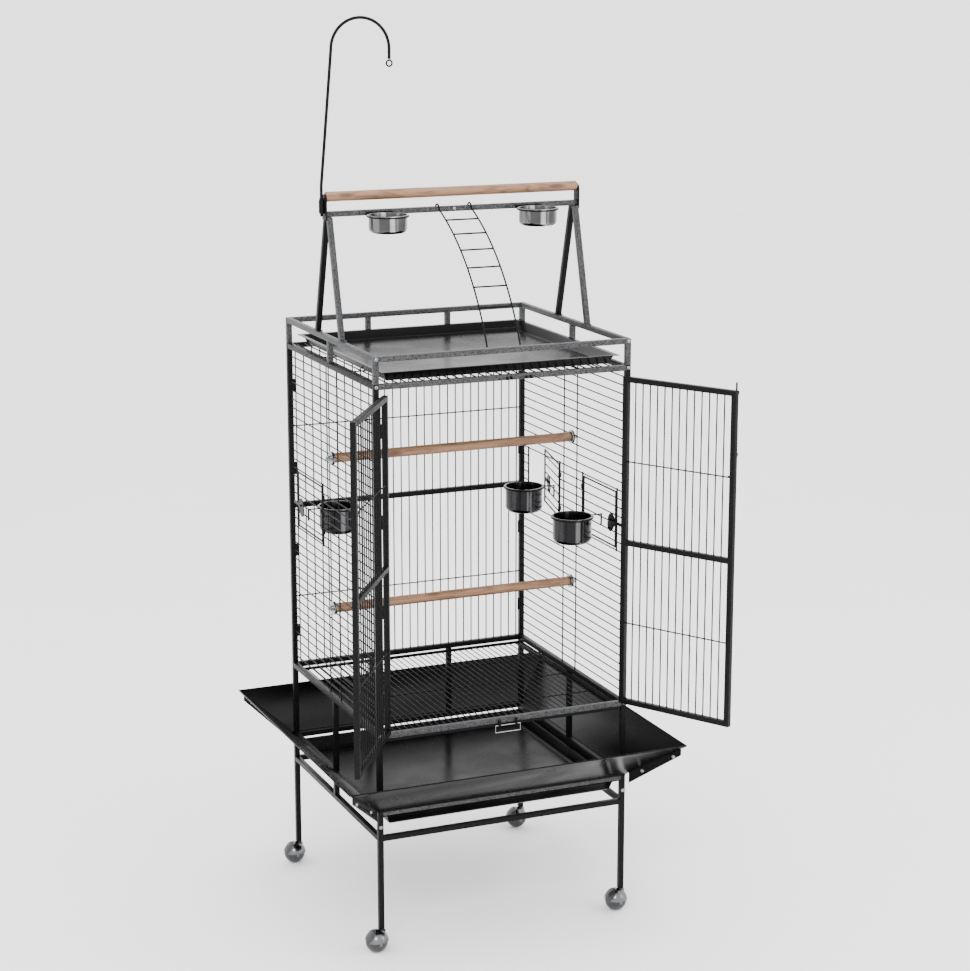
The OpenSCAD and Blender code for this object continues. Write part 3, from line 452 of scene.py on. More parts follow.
grille_x, rail_y = half_w - tube / 2, half_d - tube / 2
z_stand = low("stand_rails").z
for side, sx in (("left", -1), ("right", 1)):
    x = sx * grille_x
    bars = [post(x, sy * rail_y, z_leg, z_base) for sy in (-1, 1)]
    bars += [along(x, -in_d, in_d, z_stand), post(x, 0, z_stand + tube - into, z_base)]
    bars_piece(f"stand_tube_{side}", bars, shaded_vein, "frame", f"stand_side_{side}")
for end, sy in (("front", -1), ("rear", 1)):
    bars_piece(f"stand_cross_{end}", [cross(-in_w, in_w, sy * rail_y, z_stand)],
               shaded_vein, "frame", *(["stand_rails"] if end == "front" else []))
print("stand rebuilt, legs from", round(z_leg, 3), "to", round(z_base, 3))

# %% [markdown]
# The side grilles are rows of wire between the posts, stopped at each feeder doorway, with two
# upright wires that steady them. Wires that cross lie one behind the other, as welded wires do.
# The doors hang on four butt hinges a side: a thin leaf and a rolled barrel on each half.

# %% Hinges
hinge_x, hinge_y = in_w - 0.0005, -half_d - 0.0048
fixings = [z_cage + (z_roof - z_cage) * (0.105 + 0.26 * k) for k in range(4)]


def mirrored(sx, lo, hi):
    return (lo, hi) if sx > 0 else ((-hi[0], lo[1], lo[2]), (-lo[0], hi[1], hi[2]))


def hinge_leaf(z, reach):
    a, b = sorted((hinge_x, hinge_x + reach))
    return ((a, -half_d - 0.0016, z), (b, -half_d, z + 0.015), 0.0004)


def barrels(name, sx, starts, turn=None):
    bm = bmesh.new()
    for z in starts:
        profile = [(0.0026, 0), (0.0040, 0), (0.0045, 0.0005), (0.0045, 0.0145), (0.0040, 0.015),
                   (0.0026, 0.015),
                   (0.0026, 0)]
        ring = [[bm.verts.new((sx * hinge_x + r * math.cos(math.tau * k / 32),
                                hinge_y + r * math.sin(math.tau * k / 32),
                               z + h)) for k in range(32)] for r, h in profile[:-1]]
        for a, b in zip(ring, ring[1:] + ring[:1]):
            for k in range(32):
                bm.faces.new((a[k], a[(k + 1) % 32], b[(k + 1) % 32], b[k]))
    if turn:
        bmesh.ops.transform(bm, matrix=turn, verts=bm.verts[:])
    bmesh.ops.recalc_face_normals(bm, faces=bm.faces[:])
    return from_bmesh(name, bm)


# %% Side and rear grilles
door_row0, door_row1 = 17, 24
near_y, far_y = 0.062, 0.240
for side, sx, doorways in (("left", -1, [(near_y, far_y)]),
                           ("right", 1, [(-far_y, -near_y), (near_y, far_y)])):
    x = sx * grille_x
    bars = [post(x, sy * rail_y, z_floor, z_gap) for sy in (-1, 1)]
    bars += [along(x, -in_d, in_d, z) for z in (z_floor, z_roof)]
    for z in fixings:
        a, b = sorted((sx * (in_w - 0.005), sx * (in_w + 0.004)))
        bars.append(((a, in_d + 0.0004, z - 0.015), (b, in_d + 0.004, z + 0.015)))
        bars.append(mirrored(sx, *hinge_leaf(z - 0.015, 0.009)[:2]))
    bars_piece(f"side_frame_{side}", bars, shaded_vein, "frame", f"side_panel_{side}")
    new_piece(f"post_barrels_{side}", barrels(f"post_barrels_{side}", sx, [z - 0.015 for z in fixings]),
              shaded_vein, "frame")
    strands = []
    for i in range(1, int((z_roof - z_cage - 0.003) / pitch) + 1):
        stops = [-in_d - 0.001]
        if door_row0 < i < door_row1:
            for a, b in doorways:
                stops += [a, b]
        stops.append(in_d + 0.001)
        z = z_cage + i * pitch
        strands += [[(x, stops[k], z), (x, stops[k + 1], z)] for k in range(0, len(stops) - 1, 2)]
    strands += [[(sx * (grille_x - 0.75 * 2 * wire_r), y, z_cage - 0.001),
                 (sx * (grille_x - 0.75 * 2 * wire_r), y, z_roof + 0.001)] for y in (-0.035, 0.035)]
    wires(f"side_wires_{side}", strands, wire_r, wire_black, "frame")
    edges = [[(x, y, z_cage + door_row0 * pitch - 0.003), (x, y, z_cage + door_row1 * pitch + 0.003)]
             for pair in doorways for y in pair]
    wires(f"doorway_wires_{side}", edges, 0.002, wire_black, "frame")

z_mid = z_cage + (z_roof - z_cage) * 0.507
bars = [cross(-in_w, in_w, rail_y, z) for z in (z_floor, z_mid - tube / 2, z_roof)]
bars_piece("rear_frame", bars, shaded_vein, "frame", "rear_panel")
count = int((in_w - 0.003) / pitch)
strands = [[(i * pitch, rail_y, a), (i * pitch, rail_y, b)] for i in range(-count, count + 1)
           for a, b in ((z_cage - 0.001, z_mid - tube / 2 + 0.001),
                         (z_mid + tube / 2 - 0.001, z_roof + 0.001))]
strands += [[(-in_w, rail_y + 0.00225, z), (in_w, rail_y + 0.00225, z)]
            for z in (z_cage + (z_roof - z_cage) * 0.214, z_cage + (z_roof - z_cage) * 0.756)]
wires("rear_wires", strands, wire_r, wire_black, "frame")

# %% Sill, header and lower front rail
bars_piece("sill_tube", [cross(-in_w, in_w, -rail_y, z_floor)], lit_vein, "frame", "sill_rail")
bars = [cross(-in_w, in_w, -rail_y, z_roof)]
bars_piece("header_tube", bars, lit_vein, "frame", "header_rail")
bars = []
for x in (0.008, 0.053):
    bars += [((x + s * 0.005 - 0.0015, -half_d - 0.008, z_roof + 0.001),
              (x + s * 0.005 + 0.0015, -half_d, z_roof + 0.008)) for s in (-1, 1)]
bars_piece("header_catches", bars, wire_black, "frame")
bars_piece("lower_front_tube", [cross(-in_w, in_w, -rail_y, z_base)],
           lit_vein, "frame", "base_rail_front")

# %% [markdown]
# Each door is drawn shut, then turned about its hinges to where it stands open, exactly as the packed
# model has it: the same leaf serves both sides, mirrored for the left.

# %% Doors
door_z0, door_z1 = low("door_right").z, high("door_right").z
left_open, right_open = 124.0, 120.0


def door_turn(sx):
    angle = math.radians(right_open if sx > 0 else -left_open)
    hinge = Vector((sx * hinge_x, hinge_y, 0))
    return Matrix.Translation(hinge) @ Matrix.Rotation(angle, 4, "Z") @ Matrix.Translation(-hinge)


for side, sx in (("left", -1), ("right", 1)):
    x0, x1, y0, y1 = 0.001, in_w - 0.001, -half_d, -in_d
    middle = (door_z0 + door_z1) / 2
    turn = door_turn(sx)
    uprights = [((x, y0, door_z0), (x + tube, y1, door_z1)) for x in (x0, x1 - tube)]
    rails = [((x0 + tube - into, y0, z), (x1 - tube + into, y1, z + tube))
             for z in (door_z0, middle - tube / 2, door_z1 - tube)]
    bolt_x, guides = (0.065, (door_z0 + tube / 2, middle)) if sx < 0 else (
        0.008, (door_z1 - 0.140, door_z1 - tube / 2))
    clips = [((bolt_x - 0.005, -half_d - 0.0064, z - 0.004), (bolt_x + 0.005, -half_d, z + 0.004))
             for z in guides]
    bars = [mirrored(sx, *b) for b in uprights + rails + clips]
    bars += [mirrored(sx, *hinge_leaf(z + 0.0003, -0.009)[:2]) for z in fixings]
    new_piece(f"door_frame_{side}", bars_mesh(f"door_frame_{side}", bars, turn), shaded_vein, f"{side}_door",
              f"door_{side}")
    new_piece(f"door_barrels_{side}",
              barrels(f"door_barrels_{side}", sx, [z + 0.0003 for z in fixings], turn),
              shaded_vein, f"{side}_door")
    clear = x1 - x0 - 2 * tube
    strands = []
    for i in range(1, 14):
        x = sx * (x0 + tube + clear * i / 14)
        strands += [[(x, -rail_y, door_z0 + tube - 0.001), (x, -rail_y, middle - tube / 2 + 0.001)],
                    [(x, -rail_y, middle + tube / 2 - 0.001), (x, -rail_y, door_z1 - tube + 0.001)]]
    for s in (-1, 1):
        z = middle + s * (z_roof - z_cage) * 0.243
        strands.append([(sx * (x0 + tube - 0.001), -rail_y + 0.00225, z),
                        (sx * (x1 - tube + 0.001), -rail_y + 0.00225, z)])
    wires(f"door_wires_{side}", strands, wire_r, wire_black, f"{side}_door", turn=turn)

# %% [markdown]
# The play top repeats the base: a rim of tube on short posts round the tray, and two A-shaped leg
# pairs that carry the crossbar. The legs lean, so each is a bar turned about its foot.

# %% Play top rim
bars = [post(sx * grille_x, sy * rail_y, z_gap, z_top) for sx in (-1, 1) for sy in (-1, 1)]
bars += [cross(-in_w, in_w, sy * rail_y, z_top - tube) for sy in (-1, 1)]
bars += [along(sx * grille_x, -in_d, in_d, z_top - tube) for sx in (-1, 1)]
bars += [post(sx * grille_x, 0, z_gap, z_top - tube + into) for sx in (-1, 1)]
bars += [post(sx * half_w / 3, rail_y, z_gap, z_top - tube + into) for sx in (-1, 1)]
bars_piece("rim_tube", bars, lit_vein, "frame", "play_rim")
bars_piece("crossbar_tube", [(low("crossbar"), high("crossbar"))], lit_vein, "frame", "crossbar")

# %% Roof wires
count = int((in_w - 0.003) / pitch)
z = z_gap - 0.003
strands = [[(i * pitch, -in_d - 0.001, z), (i * pitch, in_d + 0.001, z)] for i in range(-count, count + 1)]
strands += [[(-in_w - 0.001, s * 2 * half_d / 6, z - 0.00225),
             (in_w + 0.001, s * 2 * half_d / 6, z - 0.00225)]
            for s in (-1, 1)]
wires("roof_wires", strands, wire_r, wire_black, "frame", "roof_grille")

# %% [markdown]
# The bowls, cups, casters and perches are round, so each is a profile turned on a lathe: pairs of
# radius and height, swept round an upright axis. A rolled rim and a soft corner at the bottom are
# just more points on the profile.

# %% Lathe
def round_corner(r_in, z_in, r, start, stop, steps=6):
    return [(r_in + r * math.cos(math.radians(start + (stop - start) * i / steps)),
             z_in + r * math.sin(math.radians(start + (stop - start) * i / steps))) for i in range(steps + 1)]


def lathe(name, profile, centre, steps=72, turn=None, smooth_angle=40):
    bm = bmesh.new()
    rings = []
    for r, z in profile:
        if r < 1e-6:
            rings.append([bm.verts.new((0, 0, z))])
        else:
            rings.append([bm.verts.new((r * math.cos(2 * math.pi * k / steps),
                                       r * math.sin(2 * math.pi * k / steps), z))
                          for k in range(steps)])
    for a, b in zip(rings, rings[1:]):
        for k in range(steps):
            m = (k + 1) % steps
            if len(a) == 1:
                bm.faces.new((a[0], b[m], b[k]))
            elif len(b) == 1:
                bm.faces.new((a[k], a[m], b[0]))
            else:
                bm.faces.new((a[k], a[m], b[m], b[k]))
    bmesh.ops.recalc_face_normals(bm, faces=bm.faces[:])
    place = Matrix.Translation(Vector(centre)) @ (turn or Matrix())
    bmesh.ops.transform(bm, matrix=place, verts=bm.verts[:])
    mesh = from_bmesh(name, bm)
    mesh.set_sharp_from_angle(angle=math.radians(smooth_angle))
    return mesh


# %% [markdown]
# A steel bowl or cup hangs in its ring by a rim that is rolled over into a small bead. The wall is
# one millimetre thick and turns into the floor through a generous corner.

# %% Bowls and cups
def cup_profile(r_rim, r_wall, top, bottom, corner, wall=0.001):
    bead = 0.0013
    outside = [(0, bottom)] + round_corner(r_wall - corner, bottom + corner, corner, -90, 0)
    outside += [(r_wall, top - 2 * bead), (r_rim - bead, top - 2 * bead)]
    rolled = round_corner(r_rim - bead, top - bead, bead, -80, 90, 5)
    inside = round_corner(r_wall - wall + 0.001, top - 0.001, 0.001, 90, 180, 3)
    inside += [(r, z) for r, z in reversed(
        round_corner(r_wall - corner, bottom + corner, corner - wall, -90, 0))]
    return outside + rolled + inside + [(0, bottom + wall)]


cups = {"bowl_left": ("left_bowl", bright_steel, 0.010), "bowl_right": ("right_bowl", bright_steel, 0.010)}
for place in ("left_rear", "right_front", "right_rear"):
    cups[f"feeder_cup_{place}"] = (f"cup_{place}", dark_steel, 0.012)
for name, (body, mat, corner) in cups.items():
    lo, hi = low(name), high(name)
    centre = (lo + hi) / 2
    r_rim = (hi.x - lo.x) / 2
    mesh = lathe(name + "_spun", cup_profile(r_rim, r_rim - 0.004, hi.z, lo.z, corner),
                 (centre.x, centre.y, 0))
    new_piece(name + "_spun", mesh, mat, body, name)
print("bowls and cups:", len(cups))

# %% [markdown]
# The perches are dowels with a slight chamfer at each end. A dowel turned from soft pine isn't quite
# true, so the profile wanders by a few tenths of a millimetre along its length.

# %% Perches
def dowel(name, node_name, seed):
    lo, hi = low(node_name), high(node_name)
    length, r = hi.x - lo.x, (hi.z - lo.z) / 2
    profile = [(0, 0), (r - 0.0016, 0), (r - 0.0006, 0.0008), (r - 0.0002, 0.0024)]
    for i in range(1, 40):
        t = i / 40
        profile.append((r - 0.00022 - 0.0002 * math.sin(7.1 * t * math.pi + seed)
                        * math.sin(3.3 * t * math.pi + 2 * seed),
                        0.0024 + t * (length - 0.0048)))
    profile += [(r - 0.0002, length - 0.0024), (r - 0.0006, length - 0.0008),
                (r - 0.0016, length), (0, length)]
    turn = Matrix.Rotation(math.radians(90), 4, "Y")
    mesh = lathe(name, profile, (lo.x, (lo.y + hi.y) / 2, (lo.z + hi.z) / 2), 48, turn)
    new_piece(name, mesh, pine, "frame", node_name)


dowel("pine_perch_top", "top_perch", 0.4)
dowel("pine_perch_upper", "perch_upper", 1.9)
dowel("pine_perch_lower", "perch_lower", 3.1)

# %% [markdown]
# Screw heads repeat all over the frame, so Geometry Nodes place them: a mesh of single points, one
# for each screw, carries the direction it faces, and the tree stands a domed head with a cross
# recess on every point.

# %% Screw heads
def screw_head():
    bm = bmesh.new()
    r, h, steps = 0.0045, 0.0024, 24
    profile = [(0.0, h), (0.0012, h * 0.98), (0.0026, h * 0.86), (0.0038, h * 0.55),
               (0.0044, h * 0.2), (r, 0.0)]
    rings = [[bm.verts.new((0, 0, profile[0][1] - 0.0009))]]
    for pr, pz in profile[1:]:
        ring = []
        for k in range(steps):
            a = 2 * math.pi * k / steps
            slot = pr < 0.003 and min(abs(math.sin(a)), abs(math.cos(a))) * pr < 0.0005
            ring.append(bm.verts.new((pr * math.cos(a), pr * math.sin(a), pz - (0.0009 if slot else 0))))
        rings.append(ring)
    for k in range(steps):
        bm.faces.new((rings[0][0], rings[1][k], rings[1][(k + 1) % steps]))
    for a, b in zip(rings[1:], rings[2:]):
        for k in range(steps):
            m = (k + 1) % steps
            bm.faces.new((a[k], b[k], b[m], a[m]))
    bm.faces.new(list(reversed(rings[-1])))
    mesh = from_bmesh("screw_head", bm)
    obj = bpy.data.objects.new("screw_head_pattern", mesh)
    return obj


def screw_tree():
    tree = bpy.data.node_groups.new("screws_on_points", "GeometryNodeTree")
    face = tree.interface
    face.new_socket("Points", in_out="INPUT", socket_type="NodeSocketGeometry")
    face.new_socket("Head", in_out="INPUT", socket_type="NodeSocketObject")
    face.new_socket("Size", in_out="INPUT", socket_type="NodeSocketFloat")
    face.new_socket("Finish", in_out="INPUT", socket_type="NodeSocketMaterial")
    face.new_socket("Screws", in_out="OUTPUT", socket_type="NodeSocketGeometry")
    add, link = tree.nodes.new, tree.links.new
    start, end = add("NodeGroupInput"), add("NodeGroupOutput")
    facing = add("GeometryNodeInputNamedAttribute")
    facing.data_type = "FLOAT_VECTOR"
    facing.inputs["Name"].default_value = "facing"
    align = add("FunctionNodeAlignRotationToVector")
    align.axis = "Z"
    head, stand = add("GeometryNodeObjectInfo"), add("GeometryNodeInstanceOnPoints")
    real, coat = add("GeometryNodeRealizeInstances"), add("GeometryNodeSetMaterial")
    link(start.outputs["Points"], stand.inputs["Points"])
    link(start.outputs["Head"], head.inputs["Object"])
    link(head.outputs["Geometry"], stand.inputs["Instance"])
    link(start.outputs["Size"], stand.inputs["Scale"])
    link(facing.outputs["Attribute"], align.inputs["Vector"])
    link(align.outputs["Rotation"], stand.inputs["Rotation"])
    link(stand.outputs["Instances"], real.inputs["Geometry"])
    link(real.outputs["Geometry"], coat.inputs["Geometry"])
    link(start.outputs["Finish"], coat.inputs["Material"])
    link(coat.outputs["Geometry"], end.inputs["Screws"])
    return tree


tree_for_screws = screw_tree()
screw_sockets = {s.name: s.identifier for s in tree_for_screws.interface.items_tree if s.in_out == "INPUT"}
head_pattern = screw_head()


def screws(name, spots, size, mat, body, *stands_for):
    mesh = bpy.data.meshes.new(name + "_points")
    mesh.from_pydata([p for p, n in spots], [], [])
    facing = mesh.attributes.new("facing", "FLOAT_VECTOR", "POINT")
    for i, (p, n) in enumerate(spots):
        facing.data[i].vector = n
    obj = bpy.data.objects.new(name + "_points", mesh)
    bpy.context.scene.collection.objects.link(obj)
    modifier = obj.modifiers.new("screws", "NODES")
    modifier.node_group = tree_for_screws
    modifier[screw_sockets["Head"]] = head_pattern
    modifier[screw_sockets["Size"]] = size
    modifier[screw_sockets["Finish"]] = mat
    graph = bpy.context.evaluated_depsgraph_get()
    placed = bpy.data.meshes.new_from_object(obj.evaluated_get(graph))
    placed.name = name
    obj.modifiers.remove(modifier)
    bpy.data.objects.remove(obj)
    print(name, len(spots), "screws,", len(placed.polygons), "faces")
    return new_piece(name, placed, mat, body, *stands_for)


spots = []
guard_out, guard_rise = 0.103, 0.086
for sx in (-1, 1):
    for sy in (-1, 1):
        low_fixing = z_floor + (tube / 2 if sy < 0 else -0.014)
        for z in (z_base - 0.026, low_fixing, z_roof + tube / 2, z_top - tube / 2):
            spots.append(((sx * grille_x, sy * half_d, z), (0, sy, 0)))
        facing = Vector((-sx, sy, 0)).normalized()
        for f in (0.28, 0.78):
            at = Vector((sx * (half_w + f * guard_out), sy * (half_d + f * guard_out),
                         z_base + tube + f * guard_rise - 0.010))
            spots.append((tuple(at + 0.0012 * facing), tuple(facing)))
spots.append(((0, low("crossbar").y, z_bar), (0, -1, 0)))
screws("frame_screw_heads", spots, 1.0, zinc, "frame", "frame_screws")
bpy.data.objects.remove(head_pattern)

# %% [markdown]
# Each caster is a hard ball under a chromed hood. The hood is a shell turned about the ball and cut
# open on the slant, with its edge given a wall by Solidify, on a neck that swivels under the leg.

# %% Casters
ball_r = 0.025


def caster(name, sx, sy):
    lo, hi = low(f"caster_ball_{name}"), high(f"caster_ball_{name}")
    centre = (lo + hi) / 2
    centre.z = ball_r
    half = [(0, -ball_r)] + [(ball_r * math.cos(math.radians(a)), ball_r * math.sin(math.radians(a)))
                             for a in range(-84, 0, 6)]
    groove = [(ball_r - 0.0001, -0.0012), (ball_r - 0.0009, -0.0006), (ball_r - 0.0009, 0.0006),
              (ball_r - 0.0001, 0.0012)]
    top = [(ball_r * math.cos(math.radians(a)), ball_r * math.sin(math.radians(a))) for a in range(6, 90, 6)]
    turn = Matrix.Rotation(math.radians(90), 4, "X")
    mesh = lathe(f"ball_{name}", half + groove + top + [(0, ball_r)], centre, 48, turn)
    new_piece(f"rolling_ball_{name}", mesh, ball_plastic, f"ball_{name}", f"caster_ball_{name}")

    bm = bmesh.new()
    bmesh.ops.create_uvsphere(bm, u_segments=48, v_segments=32, radius=ball_r + 0.0008)
    lean = math.radians(38)
    for point, way in (((0, 0, 0.002), (0, 0, -1)),
                       ((-0.019 * math.cos(lean), 0, 0.019 * math.sin(lean)),
                         (-math.cos(lean), 0, math.sin(lean)))):
        geom = bm.verts[:] + bm.edges[:] + bm.faces[:]
        bmesh.ops.bisect_plane(bm, geom=geom, plane_co=point, plane_no=way, clear_outer=True)
    bmesh.ops.recalc_face_normals(bm, faces=bm.faces[:])
    if sum(f.normal.dot(f.calc_center_median()) for f in bm.faces) < 0:
        bmesh.ops.reverse_faces(bm, faces=bm.faces[:])
    bmesh.ops.transform(bm, matrix=Matrix.Translation(centre), verts=bm.verts[:])
    hood = new_piece(f"hood_shell_{name}", from_bmesh(f"hood_shell_{name}", bm),
                     hood_chrome, f"caster_{name}",
                     f"caster_hood_{name}")
    wall = hood.modifiers.new("wall", "SOLIDIFY")
    wall.thickness, wall.offset = 0.0012, 1.0

    leg = Vector((sx * grille_x, sy * rail_y, 0))
    neck = [(0, 0.0415), (0.0098, 0.0415), (0.0100, 0.0425)] + round_corner(0.0082, 0.0480, 0.0018, 0, 90, 4)
    neck += [(0.0062, 0.0498), (0.0062, 0.0512), (0.0040, 0.0515),
             (0.0040, z_leg + 0.001), (0, z_leg + 0.001)]
    new_piece(f"hood_neck_{name}", lathe(f"hood_neck_{name}", neck, leg, 36), hood_chrome, f"caster_{name}")
    for s in (-1, 1):
        cap = [(0, 0.0262), (0.003, 0.0262), (0.0038, 0.0266), (0.0040, 0.0274),
               (0.0034, 0.0279), (0, 0.0280)]
        turn = Matrix.Rotation(math.radians(-90 * s), 4, "X")
        new_piece(f"hood_axle_{name}_{'ab'[s > 0]}",
                  lathe(f"hood_axle_{name}_{'ab'[s > 0]}", cap, centre, 24, turn),
                  hood_chrome, f"caster_{name}")


for end, sy in (("front", -1), ("rear", 1)):
    for side, sx in (("left", -1), ("right", 1)):
        caster(f"{end}_{side}", sx, sy)
print("four casters turned")

# %% [markdown]
# The ladder is two bowed rods with seven rungs, that curl round the crossbar. Its bow is an arc
# from the crossbar to the top of the front rim rail, and the rungs are short strands between the two
# arcs.

# %% Ladder
ladder_r = 0.525
hook_r = tube / math.sqrt(2) + 0.0023
top_point = Vector((0, -hook_r, z_bar))
foot = Vector((0, -in_d - 0.003, z_top + 0.0023))
chord = foot - top_point
reach = math.sqrt(ladder_r ** 2 - chord.length ** 2 / 4)
middle = (top_point + foot) / 2
hub = middle + Vector((0, -chord.z, chord.y)).normalized() * reach
start = math.degrees(math.atan2(top_point.z - hub.z, top_point.y - hub.y))
sweep = math.degrees(2 * math.asin(chord.length / 2 / ladder_r))
strands = []
for s in (-1, 1):
    x = s * 0.0385
    over = arc((x, 0, z_bar), hook_r, -20, 180, 24, "yz")[:-1]
    strands.append(over + arc((x, hub.y, hub.z), ladder_r, start, start + sweep, 28, "yz"))
for i in range(7):
    a = math.radians(start) + (0.0438 + i * 0.0505) / ladder_r
    y, z = hub.y + ladder_r * math.cos(a), hub.z + ladder_r * math.sin(a)
    strands.append([(-0.0385, y, z), (0.0385, y, z)])
wires("ladder_rods", strands, 0.0019, wire_black, "ladder_body", "ladder", sides=12)

# %% [markdown]
# The toy hook is one long rod: up through its sleeve, a slight lean inward, then half a turn over
# and down to a small eye.

# %% Toy hook
lo, hi = low("toy_hook"), high("toy_hook")
base_x = lo.x + 0.0055
bend = z_bar + 0.060
z_arch = z_bar + 0.351
arch_x, arch_r = -0.282, 0.0665
tip_x = arch_x + 2 * arch_r
eye_r = 0.0065
collar_h = 0.0026
rod = [(base_x, 0, lo.z), (base_x, 0, bend - 0.004), (base_x + 0.0002, 0, bend + 0.004)]
rod += [(base_x + (arch_x - base_x) * t, 0, bend + (z_arch - bend) * t) for t in (0.25, 0.5, 0.75, 0.97)]
rod += arc((arch_x + arch_r, 0, z_arch), arch_r, 180, 0, 32, "xz")
rod += [(tip_x, 0, z_arch - 0.0225)]
wires("hook_rod", [rod], 0.0034, wire_black, "toy_hook_body", "toy_hook", sides=20)
eye_at = (tip_x, 0, z_arch - 0.025 - eye_r)
wires("hook_eye", [arc(eye_at, eye_r, 92, 448, 24, "xz")], 0.0019, wire_black, "toy_hook_body", sides=12)
collar = [(0, 0), (0.0052, 0), (0.0055, 0.0004), (0.0055, 0.0022), (0.0052, collar_h)]
collar_mesh = lathe("hook_collar", collar + [(0, collar_h)], (base_x, 0, z_bar + 0.0329), 32)
new_piece("hook_collar", collar_mesh, wire_black, "toy_hook_body")

# %% [markdown]
# The leg pairs lean in to meet under the crossbar. Each leg is a bar turned about its foot, and the
# plate at the top is a flat outline, rounded over and given its thickness.

# %% Play stand legs
foot_y, top_y = 0.078, 0.008
rise = z_bar - tube / 2 - z_top
lean = math.atan2(foot_y - top_y, rise)
length = math.hypot(rise, foot_y - top_y)
for side, sx in (("left", -1), ("right", 1)):
    # The front legs take the lit copy of the lacquer and the rear legs the shaded copy. This is painted shade
    # on the rear pair, which faces down and away from the light.
    for s, end, coat in ((-1, "front", lit_vein), (1, "rear", shaded_vein)):
        bm = bmesh.new()
        turn = Matrix.Translation((sx * grille_x, s * foot_y, z_top)) @ Matrix.Rotation(s * lean, 4, "X")
        add_bar(bm, (-tube / 2, -tube / 2, 0.0014), (tube / 2, tube / 2, length - 0.001), turn=turn)
        x0, x1 = sorted((sx * (in_w - 0.002), sx * half_w))
        add_bar(bm, (x0, s * foot_y - 0.011, z_top), (x1, s * foot_y + 0.011, z_top + 0.002), edge=0.0005)
        new_piece(f"play_leg_{side}_{end}", from_bmesh(f"play_leg_{side}_{end}", bm), coat, "frame")
    bm = bmesh.new()
    x0, x1 = sorted((sx * half_w, sx * (half_w + 0.003)))
    outline = [(-0.013, z_bar - 0.012), (0.013, z_bar - 0.012)]
    outline += [(0.013 * math.cos(math.radians(a)), z_bar + 0.031 + 0.013 * math.sin(math.radians(a)))
                for a in range(0, 181, 12)]
    near = [bm.verts.new((x0, y, z)) for y, z in outline]
    far = [bm.verts.new((x1, y, z)) for y, z in outline]
    new_faces = [bm.faces.new(near), bm.faces.new(list(reversed(far)))]
    for k in range(len(outline)):
        m = (k + 1) % len(outline)
        new_faces.append(bm.faces.new((near[k], far[k], far[m], near[m])))
    bmesh.ops.recalc_face_normals(bm, faces=new_faces)
    rim = [e for f in new_faces[:2] for e in f.edges]
    bmesh.ops.bevel(bm, geom=list(set(rim)), offset=0.0007, segments=2, affect="EDGES", profile=0.6)
    x0, x1 = sorted((sx * (in_w + 0.0005), sx * half_w))
    add_bar(bm, (x0, -0.013, z_bar - 0.012), (x1, 0.013, z_bar - tube / 2), edge=0.0006)
    new_piece(f"leg_plate_{side}", from_bmesh(f"leg_plate_{side}", bm),
              shaded_vein, "frame", f"play_leg_{side}")
sleeve = [(0, 0), (0.0052, 0), (0.0060, 0.0008), (0.0060, 0.0292), (0.0052, 0.030), (0, 0.030)]
new_piece("hook_sleeve", lathe("hook_sleeve", sleeve, (base_x, 0, z_bar + 0.002), 32), shaded_vein, "frame")

# %% [markdown]
# The base's side frames carry runners for the tray and the grate: thin folded strips along the
# inner faces of the rails.

# %% Base section
for side, sx in (("left", -1), ("right", 1)):
    x = sx * grille_x
    bars = [post(x, sy * rail_y, z_base, z_floor) for sy in (-1, 1)]
    bars += [along(x, -in_d, in_d, z_base), post(x, 0, z_base + tube - into, z_floor)]
    lip, skin = 0.0095, 0.0015
    tray_level, grate_level = high("dropping_tray").z, high("sill_rail").z - tube - 0.001
    for z0, z1, reach_y, foot_z in (
            (tray_level - 0.005, z_base + tube - 0.002, in_d - 0.001, tray_level - 0.0035),
            (grate_level - 0.0085, z_floor - 0.001, in_d + 0.002, grate_level - 0.007)):
        a, b = sorted((sx * (in_w - skin), sx * in_w))
        bars.append(((a, -reach_y, z0), (b, reach_y, z1), 0.0004))
        a, b = sorted((sx * (in_w - lip), sx * in_w))
        bars.append(((a, 0.001 - in_d, z0), (b, in_d - 0.001, foot_z), 0.0004))
    bars_piece(f"base_tube_{side}", bars, shaded_vein, "frame", f"base_side_{side}")
bars = [cross(-in_w, in_w, rail_y, z_base)]
bars += [post(s * half_w / 3, rail_y, z_base + tube - into, z_floor) for s in (-1, 1)]
bars_piece("base_tube_rear", bars, shaded_vein, "frame", "base_frame_rear")


# %% [markdown]
# Pressed sheet has soft edges everywhere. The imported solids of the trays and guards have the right
# shape already, so a copy of each is cleaned (doubles merged, flat areas joined) and its sharp edges
# are bevelled, which is what the press would have done.

# %% Pressed sheet
def softened(name, node_name, edge, mat, body, angle=25, segments=2):
    bm = bmesh.new()
    bm.from_mesh(nodes[node_name].data)
    bmesh.ops.remove_doubles(bm, verts=bm.verts[:], dist=0.00002)
    bmesh.ops.dissolve_limit(bm, angle_limit=math.radians(1.0), verts=bm.verts[:], edges=bm.edges[:])
    sharp = [e for e in bm.edges if len(e.link_faces) == 2 and e.calc_face_angle(0) > math.radians(angle)]
    bmesh.ops.bevel(bm, geom=sharp, offset=edge, segments=segments, affect="EDGES", profile=0.5,
                    clamp_overlap=True)
    print(name, len(sharp), "edges softened")
    return new_piece(name, from_bmesh(name, bm), mat, body, node_name)


softened("pressed_dropping_tray", "dropping_tray", 0.00045, enamel, "dropping_tray_body")
softened("pressed_play_tray", "play_tray", 0.00045, enamel, "play_tray_body")
for end in ("front", "rear", "left", "right"):
    softened(f"pressed_guard_{end}", f"seed_guard_{end}", 0.0004, enamel, "frame", angle=40)
